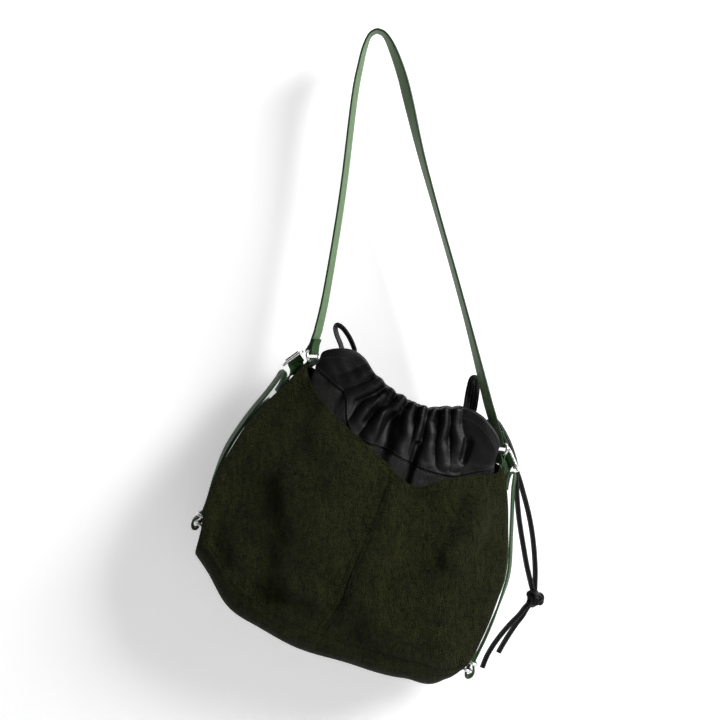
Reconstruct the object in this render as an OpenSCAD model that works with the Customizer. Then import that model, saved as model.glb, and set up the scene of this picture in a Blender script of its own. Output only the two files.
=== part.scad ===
// Drawstring leather bag, hung by its shoulder strap from a peg.
// The row frame is the bag as it hangs: the origin is the underside of the strap where it
// crosses the peg, +Z is up, +X is to the wearer's right and +Y points into the wall.
// The bag itself hangs tilted, so its parts are drawn upright in a bag frame (x across,
// y depth, z up, origin midway between its two top rings) and then placed by place_bag().

/* [Hang] */
// Tilt of the bag as it hangs, right side down, degrees
bag_tilt = 26.4; // [24:0.1:28]
// Bag frame origin, from the peg to the right
bag_x = 39.65; // [38:0.05:41]
// Bag frame origin, below the peg
bag_drop = 482; // [478:1:486]

/* [Leather] */
// Thickness of the olive outer leather
shell_t = 2; // [1.6:0.1:2.2]
// Thickness of the thin black liner and collar leather
liner_t = 1.2; // [0.9:0.1:1.4]
// Depth of the base panel's wrap up the front and back
base_wrap = 26; // [20:1:34]
// Gap left between neighbouring leather layers
layer_gap = 0.4; // [0.3:0.1:0.6]

/* [Straps] */
// Width of the shoulder and side straps
strap_w = 20; // [18:1:22]
// Thickness of the shoulder and side straps
strap_t = 2.6; // [2.4:0.1:2.8]
// Thickness of the thin tabs and gusset strips
tab_t = 1.8; // [1.6:0.1:1.8]
// Clear length where the shoulder strap flexes above each end piece
flex_gap = 5; // [4.6:0.1:6]

/* [Oval rings] */
// Wire diameter of every oval ring
wire_d = 4; // [3.8:0.1:4]
// Overall length of every oval ring
ring_len = 34; // [33:0.5:35]
// Overall width of every oval ring
ring_wid = 17; // [17:0.1:17.4]

/* [Drawstring] */
// Width of the flat lace
lace_w = 7; // [6:0.5:7]
// Thickness of the flat lace
lace_t = 2.4; // [2:0.1:2.6]
// Depth of the casing hem at the mouth
casing_h = 13; // [12:1:15]

/* [Hidden] */

olive = "#2b2f1a";
strap_green = "#3a5e33";
dark_green = "#16300f";
black_leather = "#1c1c1c";
grained_black = "#2a2524";
lace_black = "#101010";
silver = "#d8d8d8";

// ---- Outline of the outer shell, in the bag frame -------------------------------------

// Left and right edges of the shell at a height z
left_edge = [[-294, -158], [-265, -163], [-223, -175], [-170, -177.5], [-123, -173],
    [-81, -163.5], [-48, -152], [-12, -141]];
right_edge = [[-294, 199], [-283, 204], [-264, 212], [-221, 215], [-184, 213],
    [-146, 208], [-94, 188.5], [-53, 168.5], [-18, 146]];

// Height of the dipped front edge, the bottom edge and the liner's seam, against the
// share of the width from the left edge (0) to the right edge (1)
front_top = [[0, -12], [0.09, -35], [0.19, -49], [0.36, -66], [0.47, -76], [0.52, -83],
    [0.56, -88], [0.62, -90], [0.73, -64], [0.86, -44], [0.965, -28], [1, -18]];
back_top = [[0, -14], [0.5, -22], [1, -20]];
bottom_edge = [[0, -294], [0.07, -307], [0.18, -331], [0.32, -339], [0.44, -340],
    [0.64, -330], [0.86, -315], [0.98, -302], [1, -294]];

// Half depth of the shell along its middle and along its side seams, at a height z
mid_depth = [[-340, 50], [-300, 56], [-250, 60], [-200, 60], [-150, 55], [-100, 46],
    [-60, 37], [-20, 28], [0, 25], [30, 22]];
side_depth = [[-340, 40], [-300, 40], [-250, 38], [-200, 34], [-150, 29], [-100, 24],
    [-50, 18], [-12, 15]];

// Share of the width where the front panel's centre seam runs
seam_share = 0.52;

// How far each gusset lies inside the side seams at mid depth; it bulges out where this is negative
left_recess = [[-300, 9], [-245, 8], [-218, 2], [-185, -1], [-150, -2.5], [-110, -2.5], [-85, -1.5],
    [-62, 2], [-24, 4]];
right_recess = [[-300, 5], [-262, 3], [-222, 0], [-178, -2], [-137, -3.5], [-94, -1], [-60, 2],
    [-24, 4]];

// ---- Outline of the inner bag ----------------------------------------------------------

liner_left = [[-300, -146], [-260, -149], [-220, -160], [-170, -163], [-120, -158],
    [-80, -147], [-50, -136], [-25, -126], [0, -124]];
liner_right = [[-300, 184], [-260, 194], [-220, 198], [-180, 197], [-140, 191],
    [-95, 172], [-60, 154], [-35, 136], [-15, 124], [0, 121]];
// Height of the seam between the grained liner and the smooth collar, against x
collar_seam = [[-126, -8], [-93, -19], [-72, -27], [-53, -56], [0, -64], [50, -64],
    [80, -55], [102, -40], [122, -22], [128, -12]];
// Height of the mouth edge, against x
mouth_edge = [[-126, 3], [-120, 12], [-108, 23], [-91, 30], [-78, 28], [-54, 15],
    [-30, 8], [0, 4], [30, 8], [46, 17], [67, 27], [92, 27], [104, 20], [114, 10], [122, -2]];

function mix(a, b, t) = a + (b - a) * t;
function sgn_pow(v, e) = sign(v) * pow(abs(v), e);
function share_x(s, z) = mix(lookup(z, left_edge), lookup(z, right_edge), s);
function crown(s) = pow(1 - pow(abs(2 * s - 1), 2.4), 0.8);
function depth(s, z) = mix(lookup(z, side_depth), lookup(z, mid_depth), crown(s));
function wrap_z(s) = lookup(s, bottom_edge) + base_wrap;

// ---- Generic builders ------------------------------------------------------------------

// Closed solid skinned over a list of equal loops, each counter-clockwise about the travel.
// A loop has an even number of points, and its second half runs back beside its first half,
// so each end is capped by a strip of triangles between the two halves.
module skin(loops) {
    n = len(loops[0]);
    m = len(loops);
    points = [for (l = loops) each l];
    walls = [for (k = [0:m - 2]) for (i = [0:n - 1]) let (j = (i + 1) % n) each [
        [k * n + i, (k + 1) * n + i, (k + 1) * n + j],
        [k * n + i, (k + 1) * n + j, k * n + j]
    ]];
    start_cap = [for (i = [0:n / 2 - 2]) each [[i, i + 1, n - 2 - i], [i, n - 2 - i, n - 1 - i]]];
    last = (m - 1) * n;
    end_cap = [for (f = start_cap) [last + f[2], last + f[1], last + f[0]]];
    polyhedron(points = points, faces = concat(start_cap, walls, end_cap), convexity = 10);
}

// Loop of a thin wall: its outer line, then its inner line backwards
function wall_loop(outer, inner) = concat(outer,
    [for (i = [len(inner) - 1:-1:0]) inner[i]]);

// Cubic curve through the points p, with k steps a span; works in two or three dimensions
function spline_at(a, b, c, d, t) = 0.5 * (2 * b + (c - a) * t
    + (2 * a - 5 * b + 4 * c - d) * t * t + (3 * b - a - 3 * c + d) * t * t * t);
function smooth(p, k) = concat([for (i = [0:len(p) - 2]) for (j = [0:k - 1])
    spline_at(p[max(i - 1, 0)], p[i], p[i + 1], p[min(i + 2, len(p) - 1)], j / k)],
    [p[len(p) - 1]]);

function unit(v) = v / norm(v);
function tangent(p, i) = unit(p[min(i + 1, len(p) - 1)] - p[max(i - 1, 0)]);
function square_to(v, t) = unit(v - (v * t) * t);

// Outline of a ribbon of thickness t along the flat path p
function ribbon_side(p, off) = [for (i = [0:len(p) - 1])
    let (d = tangent(p, i)) p[i] + off * [-d[1], d[0]]];
function ribbon(p, t) = wall_loop(ribbon_side(p, t / 2), ribbon_side(p, -t / 2));

// Band of section loop sec (flat points) swept along p with its width held along widths[i]
module sweep(p, widths, sec) {
    skin([for (i = [0:len(p) - 1])
        let (t = tangent(p, i), a = square_to(widths[i], t), b = cross(t, a))
        [for (q = sec) p[i] + q[0] * a + q[1] * b]]);
}

function box_section(w, t) = [[w / 2, t / 2], [-w / 2, t / 2], [-w / 2, -t / 2], [w / 2, -t / 2]];
function lace_section(w, t) = [for (a = [22.5:45:360])
    [w / 2 * sgn_pow(cos(a), 0.35), t / 2 * sgn_pow(sin(a), 0.9)]];

module place_bag() {
    translate([bag_x, 0, -bag_drop])
        rotate([0, bag_tilt, 0])
            children();
}

// Puts a flat shape drawn in x-y with its depth along z at point c, so that its z lies along
// the bar direction l and its y along the run direction d
module on_bar(c, l, d) {
    z = unit(l);
    y = square_to(d, z);
    x = cross(y, z);
    multmatrix([
        [x[0], y[0], z[0], c[0]],
        [x[1], y[1], z[1], c[1]],
        [x[2], y[2], z[2], c[2]],
        [0, 0, 0, 1]
    ])
        children();
}

// Clear height above a bar at which the two sides of a fold come together
fold_rise = 5;

// Flat path that runs down on one side of a bar at the origin, round under it and up again
function fold_path(t, tail, run) = let (r = wire_d / 2 + layer_gap + t / 2,
    h = (t + layer_gap) / 2)
    concat([[-h, tail], [-h, r + fold_rise]], [for (a = [180:22.5:360]) r * [cos(a), sin(a)]],
    [[h, r + fold_rise], [h, run]]);

module folded_tab(t, w, tail, run) {
    linear_extrude(w, center = true)
        polygon(ribbon(fold_path(t, tail, run), t));
}

// ---- Oval ring -------------------------------------------------------------------------

bar_span = ring_wid - wire_d;
bar_len = ring_len - ring_wid;

// Centred, long axis along z, the two bars at x = +-bar_span / 2
module oval_ring() {
    color(silver) {
        for (side = [-1, 1]) {
            translate([side * bar_span / 2, 0, 0])
                cylinder(h = bar_len, d = wire_d, center = true, $fn = 40);
            translate([0, 0, side * bar_len / 2])
                rotate([side > 0 ? 90 : -90, 0, 0])
                    rotate_extrude(angle = 180, $fn = 40)
                        translate([bar_span / 2, 0])
                            circle(d = wire_d, $fn = 40);
        }
    }
}

// Strap rings: centre, long axis (front to back) and short axis (down), in the bag frame.
// The front end of each ring swings outwards.
strap_ring_l = [-137.3, 0, 0.2];
strap_ring_r = [134.2, 0, 0.7];
long_axis_l = unit([0.403, 0.89, 0.2]);
long_axis_r = unit([-0.403, 0.89, -0.2]);
short_axis_l = square_to([0.588, 0, -0.802], long_axis_l);
short_axis_r = square_to([0.266, 0, -0.962], long_axis_r);
top_bar_l = strap_ring_l - short_axis_l * bar_span / 2;
top_bar_r = strap_ring_r - short_axis_r * bar_span / 2;
low_bar_l = strap_ring_l + short_axis_l * bar_span / 2;
low_bar_r = strap_ring_r + short_axis_r * bar_span / 2;

module strap_ring(c, l, s) {
    on_bar(c, l, cross(l, s))
        oval_ring();
}

// Corner rings: long axis in the plane of the bag, bars one behind the other
corner_ring_l = [-159.2, 0, -13.6];
corner_ring_r = [154.4, 0, -3.9];
corner_axis_l = unit([0.467, 0, 0.884]);
corner_axis_r = unit([0.763, 0, -0.646]);
// Direction away from the bag, square to each corner ring
corner_out_l = [-corner_axis_l[2], 0, corner_axis_l[0]];
corner_out_r = [-corner_axis_r[2], 0, corner_axis_r[0]];

module corner_ring(c, l, out) {
    on_bar(c, l, out)
        oval_ring();
}

// Lengths of the two layers of a corner tab and of a ring tab, and the width of a ring tab
corner_tab_layers = [11, 13];
ring_tab_layers = [13, 11];
ring_tab_w = strap_w - 2;
// Directions in which the ring tabs run down to the bag
ring_tab_down_l = [-7, 0, -15];
ring_tab_down_r = [7, 0, -15];

module corner_tab(c, l, out) {
    color(strap_green)
        on_bar(c + [0, bar_span / 2, 0], l, -out)
            folded_tab(tab_t, strap_w, corner_tab_layers[0], corner_tab_layers[1]);
}

// ---- Strap ends at the strap rings -----------------------------------------------------

// Where each shoulder strap leg reaches the flexing gap, in the bag frame
leg_foot_l = [-142, 0, 28];
leg_foot_r = [95, 0, 41];
leg_dir_l = square_to(leg_foot_l - top_bar_l, long_axis_l);
leg_dir_r = square_to(leg_foot_r - top_bar_r, long_axis_r);
end_run_l = 22;
end_run_r = 49;
stitched_tail = 17;

module strap_end(bar, l, dir, run) {
    color(strap_green)
        on_bar(bar, l, dir)
            folded_tab(strap_t, strap_w, stitched_tail, run);
}

module ring_tab(bar, l, down) {
    color(dark_green)
        on_bar(bar, l, down)
            folded_tab(tab_t, ring_tab_w, ring_tab_layers[0], ring_tab_layers[1]);
}

// ---- Shoulder strap --------------------------------------------------------------------

// Turns a bag frame point into the row frame
function to_row(p) = [
    bag_x + p[0] * cos(bag_tilt) + p[2] * sin(bag_tilt),
    p[1],
    -bag_drop - p[0] * sin(bag_tilt) + p[2] * cos(bag_tilt)];
function turn_to_row(v) = [v[0] * cos(bag_tilt) + v[2] * sin(bag_tilt), v[1],
    -v[0] * sin(bag_tilt) + v[2] * cos(bag_tilt)];

// Centre line of the shoulder strap from the left flexing gap over the peg to the right one
half_fold = (strap_t + layer_gap) / 2;
side_shift_l = cross(leg_dir_l, long_axis_l) * half_fold;
side_shift_r = cross(leg_dir_r, long_axis_r) * half_fold;
strap_foot_l = to_row(top_bar_l + side_shift_l + leg_dir_l * (end_run_l + flex_gap));
strap_foot_r = to_row(top_bar_r + side_shift_r + leg_dir_r * (end_run_r + flex_gap));
strap_route = concat([strap_foot_l], [
    [-65, -2, -336], [-45, 0, -213], [-29.5, 0, -88], [-21, 0, -42], [-15.6, 0, -20],
    [-9, 0, -4.5], [0, 0, strap_t / 2], [10, 0, -4], [20.5, 0, -23], [32, 0, -55],
    [41, 0, -90], [58, 0, -162], [79, 0, -238], [100, 0, -312], [120, -3, -387]
], [strap_foot_r]);
// Turn of the strap's front edge away from straight forwards, degrees, at each route point
strap_turn = [-26.7, -22, -19, -19, -16, -12, -4, 0, 8, 22, 30, 32, 18, 11, 11, 14, 26.7];

module shoulder_strap() {
    steps = 4;
    route = smooth(strap_route, steps);
    turns = smooth([for (a = strap_turn) [a]], steps);
    color(strap_green)
        sweep(route, [for (a = turns) [sin(a[0]), -cos(a[0]), 0]], box_section(strap_w, strap_t));
}

// ---- Side straps and their cinch rings -------------------------------------------------

// Centre of the upper cinch ring at each lower corner, in the bag frame
cinch_l = [-173, 0, -247.5];
cinch_r = [223.5, 0, -262.5];
cinch_drop = 11;
cinch_inset = 3.6;
// Tilt of the cinch rings, outer bar down, degrees
cinch_tilt = 6;

// Flat path of the side strap round the cinch rings: out is measured away from the bag and
// up from the upper ring's centre. It runs down the outside, hooks round the lower ring's
// outer bar and comes back up through both rings to its free end.
cinch_hook = [[2.4, 0.5], [4.6, -5], [6.9, -8.5], [8.2, -12.5], [7.4, -17], [4.3, -20.3],
    [0.9, -19.6], [-0.7, -16], [-0.8, -11], [-0.8, -3], [-0.8, 13]];

// Flat path of the gusset strip's lower end, folded round both inner bars
strip_hook = [[-7.2, 10], [-9.4, 4], [-10.1, 0], [-12.6, -6], [-13.5, -10], [-13.2, -12.5], [-11.8, -14.1],
    [-10.1, -14.5], [-8.3, -13.9], [-7.1, -12.2], [-6.6, -9.5], [-4.4, -4.2], [-3.3, -0.5], [-3.3, 7]];

// Outer runs of the side straps from the turned top end down to the cinch, in x and z
run_l = [[-164.8, -38], [-165.4, -46], [-169.5, -68], [-179, -110], [-184.5, -155],
    [-182.5, -195], [-177.5, -225], [-175.9, -238]];
run_r = [[166.6, -23], [169.8, -32], [174, -43], [195, -90], [215, -137], [222, -178], [225.3, -222],
    [225.7, -240], [225.8, -252]];
turned_tail_l = [[-159, -62], [-158, -52], [-158.4, -42], [-159.2, -36.8], [-162, -34.6]];
turned_tail_r = [[165, -44], [161.6, -34], [160, -24.5], [163, -20.2]];

function place_hook(hook, c, side) = [for (p = hook) [c[0] + side * p[0], c[2] + p[1]]];

module side_strap(run, tail, c, side) {
    path = concat(tail, run, place_hook(cinch_hook, c, side));
    color(strap_green)
        rotate([90, 0, 0])
            linear_extrude(strap_w, center = true)
                polygon(ribbon(smooth(path, 3), strap_t));
}

module cinch_ring(c, side, lower) {
    in_x = c[0] - side * (lower ? cinch_inset : 0);
    in_z = c[2] - (lower ? cinch_drop : 0);
    translate([in_x, 0, in_z])
        rotate([90, 0, 0])
            oval_ring();
}

// Outside of each gusset at mid depth
function gusset_x_l(z) = lookup(z, left_edge) + lookup(z, left_recess);
function gusset_x_r(z) = lookup(z, right_edge) - lookup(z, right_recess);

// Heights of the gusset strip's points, from below the side strap's turned end downwards
strip_heights = [-74, -90, -120, -150, -180, -210, -228];

module gusset_strip(c, side) {
    off = 3 * layer_gap + tab_t / 2;
    run = [for (z = strip_heights)
        [side < 0 ? gusset_x_l(z) - off : gusset_x_r(z) + off, z]];
    path = concat(run, place_hook(strip_hook, c, side));
    color(dark_green)
        rotate([90, 0, 0])
            linear_extrude(strap_w, center = true)
                polygon(ribbon(smooth(path, 2), tab_t));
}

// ---- Outer shell -----------------------------------------------------------------------

shell_rows = 12;
// Shares of the width at which the panels and the base have their rows of points
shell_shares = [0, 0.035, 0.07, 0.12, 0.18, 0.25, 0.32, 0.38, 0.44, 0.48, 0.52, 0.56, 0.6, 0.64,
    0.7, 0.75, 0.8, 0.86, 0.92, 0.98, 1];
// Half the gap between the two front panels at the centre seam, as a share of the width
seam_gap = 0.0006;

// Front or back panel between shares s0 and s1, from the base wrap up to top(s)
module shell_panel(s0, s1, face, top) {
    inside = [for (s = shell_shares) if (s > s0 + 0.01 && s < s1 - 0.01) s];
    shares = concat([s0], inside, [s1]);
    last = len(shares) - 1;
    ordered = face < 0 ? shares : [for (i = [last:-1:0]) shares[i]];
    loops = [for (k = [0:shell_rows]) let (
        outer = [for (s = ordered) let (z = mix(wrap_z(s) + layer_gap, lookup(s, top), k / shell_rows))
            [share_x(s, z), face * depth(s, z), z]],
        inner = [for (p = outer) [p[0], p[1] - face * shell_t, p[2]]])
        wall_loop(outer, inner)];
    color(olive)
        skin(loops);
}

module front_panel_left() {
    shell_panel(0, seam_share - seam_gap, -1, front_top);
}

module front_panel_right() {
    shell_panel(seam_share + seam_gap, 1, -1, front_top);
}

module back_panel() {
    shell_panel(0, 1, 1, back_top);
}

// Turned hem behind the dipped front edge; it stops a share hem_margin inside the side edges
hem_h = 24;
hem_t = 1.2;
hem_drop = 1;
hem_margin = 0.03;
module hem_facing() {
    shares = [for (i = [0:20]) mix(hem_margin, 1 - hem_margin, i / 20)];
    loops = [for (k = [0:1]) let (
        outer = [for (s = shares) let (z = lookup(s, front_top) - hem_drop - hem_h * (1 - k))
            [share_x(s, z), -depth(s, z) + shell_t + layer_gap, z]],
        inner = [for (p = outer) [p[0], p[1] + hem_t, p[2]]])
        wall_loop(outer, inner)];
    color(olive)
        skin(loops);
}

// One-piece base that wraps up the front and the back; its section is a rounded channel that
// narrows by base_draft on each side towards the floor
base_draft = 2;
base_corner_r = 20;

function channel(s, inset) = let (
    low = lookup(s, bottom_edge) + inset,
    high = wrap_z(s),
    d_top = depth(s, high) - inset,
    d_low = d_top - base_draft,
    r = base_corner_r - inset)
    concat([[-d_top, high]],
        [for (a = [180:22.5:270]) [-d_low + r + r * cos(a), low + r + r * sin(a)]],
        [for (a = [270:22.5:360]) [d_low - r + r * cos(a), low + r + r * sin(a)]],
        [[d_top, high]]);

module base_panel() {
    loops = [for (s = shell_shares) let (
        outer = [for (q = channel(s, 0)) [share_x(s, q[1]), q[0], q[1]]],
        inner = [for (q = channel(s, shell_t)) [share_x(s, q[1]), q[0], q[1]]])
        wall_loop(outer, inner)];
    color(olive)
        skin(loops);
}

// Half width of a gusset at a height z; its rounded foot stands inside the end of the base
gusset_half = [[-289, 24], [-285, 28.5], [-278, 32], [-267, 34], [-262, 36], [-250, 35.6],
    [-200, 31.6], [-150, 26.6], [-100, 21.6], [-50, 15.6], [-24, 13.2]];

// How far the front and back edges of a gusset lie inside the shell's side edges
gusset_tuck = 1.5;

// Side gussets: a strip of the shell between the front and back seams
module gusset(side) {
    columns = 6;
    loops = [for (row = gusset_half) let (
        z = row[0],
        d = row[1],
        x_edge = side < 0 ? lookup(z, left_edge) + gusset_tuck : lookup(z, right_edge) - gusset_tuck,
        x_mid = side < 0 ? gusset_x_l(z) : gusset_x_r(z),
        outer = [for (i = [0:columns]) let (v = -1 + 2 * i / columns)
            [mix(x_mid, x_edge, v * v), side * v * d, z]],
        inner = [for (p = outer) [p[0] - side * shell_t, p[1], z]])
        wall_loop(outer, inner)];
    color(dark_green)
        skin(loops);
}

// ---- Inner bag: grained liner and smooth drawstring collar -----------------------------

// Point of the inner bag's outer face at turn a (180 left, 270 front, 360 right), height z
function inner_point(a, z, inset) = let (
    xl = lookup(z, liner_left) + inset,
    xr = lookup(z, liner_right) - inset,
    d = lookup(z, mid_depth) - shell_t - hem_t - 3 * layer_gap - inset)
    [(xl + xr) / 2 + (xr - xl) / 2 * sgn_pow(cos(a), 0.8), d * sgn_pow(sin(a), 0.8), z];

// Share across the width at a point x of the mouth, used to follow the bottom edge below it
function inner_share(x) = min(1, max(0, (x * 1.35 + 160) / 360));
// Height of the liner walls' lower edge above the bottom edge
liner_rise = 26;
// Columns of points across each half of the inner bag
inner_columns = 32;

// Wall between heights low(x) and high(x) over half a turn, starting at angle a0
module inner_wall(a0, columns, rows, low, high, inset, t) {
    turns = [for (i = [0:columns]) a0 + 180 * i / columns];
    loops = [for (k = [0:rows]) let (
        outer = [for (a = turns) inner_rise(a, k / rows, low, high, inset)],
        inner = [for (a = turns) inner_rise(a, k / rows, low, high, inset + t)])
        wall_loop(outer, inner)];
    skin(loops);
}

// Walks up the wall at turn a; low and high are height tables read at the mouth's own x
function inner_rise(a, v, low, high, inset) = let (
    x_key = inner_point(a, 0, 0)[0],
    z_low = low == undef ? lookup(inner_share(x_key), bottom_edge) + liner_rise : lookup(x_key, low),
    z = mix(z_low, lookup(x_key, high), v))
    inner_point(a, z, inset);

module liner_front() {
    color(grained_black)
        inner_wall(180, inner_columns, 8, undef, [for (p = collar_seam) p - [0, layer_gap]], 0, liner_t);
}

module liner_back() {
    color(grained_black)
        inner_wall(0, inner_columns, 8, undef, [for (p = collar_seam) p - [0, layer_gap]], 0, liner_t);
}

module collar_front() {
    color(black_leather)
        inner_wall(180, inner_columns, 5, collar_seam, mouth_edge, 0, liner_t);
}

module collar_back() {
    color(black_leather)
        inner_wall(0, inner_columns, 5, collar_seam, mouth_edge, 0, liner_t);
}

casing_low = [for (p = mouth_edge) p - [0, casing_h]];
casing_inset = liner_t + lace_t + 2 * layer_gap;

module casing_front() {
    color(black_leather)
        inner_wall(180, inner_columns, 1, casing_low, mouth_edge, casing_inset, liner_t);
}

module casing_back() {
    color(black_leather)
        inner_wall(0, inner_columns, 1, casing_low, mouth_edge, casing_inset, liner_t);
}

// How far the liner's floor stops inside the base's front and back
floor_margin = 24;

// Floor of the inner bag
module liner_base() {
    shares = [0.05, 0.09, 0.14, 0.2, 0.32, 0.44, 0.55, 0.64, 0.75, 0.86, 0.93, 0.96];
    loops = [for (s = shares) let (
        x = share_x(s, lookup(s, bottom_edge)),
        z = lookup(s, bottom_edge) + shell_t + layer_gap,
        d = (depth(s, z) - floor_margin) * pow(1 - pow(abs(2 * s - 1), 4), 0.5))
        [[x, -d, z], [x, d, z], [x, d, z + liner_t], [x, -d, z + liner_t]]];
    color(grained_black)
        skin(loops);
}

// ---- Drawcord, pull loops and lace tail ------------------------------------------------

// Flat lace squeezed inside the casing, from the right end round the mouth and back to it
squeeze_w = 1.5;
squeeze_t = 1;

module drawcord() {
    inset = (liner_t + casing_inset) / 2;
    turns = [for (i = [2:2 * inner_columns - 2]) 180 * i / inner_columns];
    route = [for (a = turns) let (x = inner_point(a, 0, inset)[0])
        inner_point(a, lookup(inner_point(a, 0, 0)[0], mouth_edge) - casing_h / 2, inset)];
    color(lace_black)
        sweep(route, [for (a = turns) [0, 0, 1]], box_section(lace_w - squeeze_w, lace_t - squeeze_t));
}

// Bights of lace pulled up out of the casing, drawn as flat loops that stand on edge
loop_l = [[-90, -12], [-90, 10], [-91, 28], [-97, 36], [-108, 44.5], [-119, 50], [-126.5, 50.5], [-127, 45.5],
    [-121, 38], [-112, 30], [-105.5, 22], [-102.5, 10], [-102, -12]];
loop_r = [[81, -14], [81, 10], [80.6, 28], [77, 42], [72.5, 56], [68, 66], [64.5, 68.3], [62.8, 65],
    [64.2, 56], [67.5, 43], [71.5, 29], [72.5, 10], [72.5, -14]];
loop_depth_l = 1;
loop_depth_r = 0.5;
// Backward lean of the right loop, degrees, about a line at loop_pivot_z
loop_lean_r = 9;
loop_pivot_z = 12;

module pull_loop(path, y, lean) {
    color(lace_black)
        translate([0, y, loop_pivot_z])
            rotate([-lean, 0, 0])
                rotate([90, 0, 0])
                    linear_extrude(lace_w, center = true)
                        polygon(ribbon(smooth([for (p = path) p - [0, loop_pivot_z]], 3), lace_t));
}

// Routes of the loose lace in the row frame: a lead from the collar's right end, behind the
// strap and the corner ring, a strand from the ring to the knot and a tail below it, for each
// of the two lace ends
lead_front = [[143.5, 10.8, -508], [149.5, 11.8, -505.5], [156, 13.5, -507], [162, 14, -516],
    [167, 14, -525], [171.5, 14, -534], [175, 14, -543], [178, 14, -552], [180.5, 14, -561],
    [182, 14, -568]];
lead_back = [[144, 16, -510], [150, 16.5, -505], [157, 17, -507], [163, 17.2, -515],
    [168, 17.2, -524], [172.5, 17.2, -533], [176, 17.2, -542], [179, 17.2, -551],
    [181.5, 17.2, -560], [183, 17.2, -568]];
strand_left = [[182.5, 14, -573], [183, 14, -590], [184, 14, -610], [186, 14, -631],
    [189, 14, -652], [192.5, 14, -673], [196, 14, -693], [200, 14, -711], [203.5, 14, -725]];
strand_right = [[184, 17.2, -573], [188, 17.2, -585], [193, 17.2, -603], [198, 17.2, -622],
    [202, 17.2, -641], [205, 17.2, -661], [207, 17.2, -682], [208, 17.2, -705],
    [207.5, 17.2, -725]];
tail_long = [[194, 14, -750], [187, 14, -759], [178, 14, -768], [169, 14, -778],
    [160, 14, -789], [151.5, 14, -801], [144, 14, -814], [138, 14, -829]];
tail_short = [[197, 17.2, -752], [191, 17.2, -762], [184, 17.2, -771], [177, 17.2, -781],
    [170.5, 17.2, -791], [164.5, 17.2, -801], [159.5, 17.2, -810]];
knot_centre = [207, 15.6, -738.5];

module lace(route) {
    color(lace_black)
        sweep(route, [for (i = [0:len(route) - 1]) lace_face], lace_section(lace_w, lace_t));
}
// Direction in which the lace's width lies
lace_face = [1, 0.12, 0.25];

// Knot: a core, and two turns of lace round it that lean to either side
knot_tilt = 30;
knot_core_d = 17;
knot_turn_r = 7.5;
knot_turn_d = 5;
knot_turn_lean = 35;

module knot() {
    color(lace_black)
        translate(knot_centre)
            rotate([0, knot_tilt, 0]) {
                sphere(d = knot_core_d, $fn = 40);
                for (lean = [-knot_turn_lean, knot_turn_lean])
                    rotate([90 + lean, 0, 0])
                        rotate_extrude($fn = 40)
                            translate([knot_turn_r, 0])
                                circle(d = knot_turn_d, $fn = 20);
            }
}

// ---- Named pieces ----------------------------------------------------------------------

shoulder_strap();
place_bag() strap_end(top_bar_l, long_axis_l, leg_dir_l, end_run_l);  // strap_end_left
place_bag() strap_end(top_bar_r, long_axis_r, leg_dir_r, end_run_r);  // strap_end_right
place_bag() strap_ring(strap_ring_l, long_axis_l, short_axis_l);  // strap_ring_left
place_bag() strap_ring(strap_ring_r, long_axis_r, short_axis_r);  // strap_ring_right
place_bag() ring_tab(low_bar_l, long_axis_l, ring_tab_down_l);  // ring_tab_left
place_bag() ring_tab(low_bar_r, long_axis_r, ring_tab_down_r);  // ring_tab_right
place_bag() corner_ring(corner_ring_l, corner_axis_l, corner_out_l);  // corner_ring_left
place_bag() corner_ring(corner_ring_r, corner_axis_r, corner_out_r);  // corner_ring_right
place_bag() corner_tab(corner_ring_l, corner_axis_l, corner_out_l);  // corner_tab_left
place_bag() corner_tab(corner_ring_r, corner_axis_r, corner_out_r);  // corner_tab_right
place_bag() side_strap(run_l, turned_tail_l, cinch_l, -1);  // side_strap_left
place_bag() side_strap(run_r, turned_tail_r, cinch_r, 1);  // side_strap_right
place_bag() gusset_strip(cinch_l, -1);  // gusset_strip_left
place_bag() gusset_strip(cinch_r, 1);  // gusset_strip_right
place_bag() cinch_ring(cinch_l, -1, false);  // cinch_ring_upper_left
place_bag() cinch_ring(cinch_l, -1, true);  // cinch_ring_lower_left
place_bag() cinch_ring(cinch_r, 1, false);  // cinch_ring_upper_right
place_bag() cinch_ring(cinch_r, 1, true);  // cinch_ring_lower_right
place_bag() front_panel_left();
place_bag() front_panel_right();
place_bag() hem_facing();
place_bag() back_panel();
place_bag() base_panel();
place_bag() gusset(-1);  // gusset_left
place_bag() gusset(1);  // gusset_right
place_bag() liner_front();
place_bag() liner_back();
place_bag() liner_base();
place_bag() collar_front();
place_bag() collar_back();
place_bag() casing_front();
place_bag() casing_back();
place_bag() drawcord();
place_bag() pull_loop(loop_l, loop_depth_l, 0);  // pull_loop_left
place_bag() pull_loop(loop_r, loop_depth_r, loop_lean_r);  // pull_loop_right
lace(lead_front);  // lace_lead_front
lace(lead_back);  // lace_lead_back
lace(strand_left);  // lace_strand_left
lace(strand_right);  // lace_strand_right
knot();  // lace_knot
lace(tail_long);  // lace_tail_long
lace(tail_short);  // lace_tail_short
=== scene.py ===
import math

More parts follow.
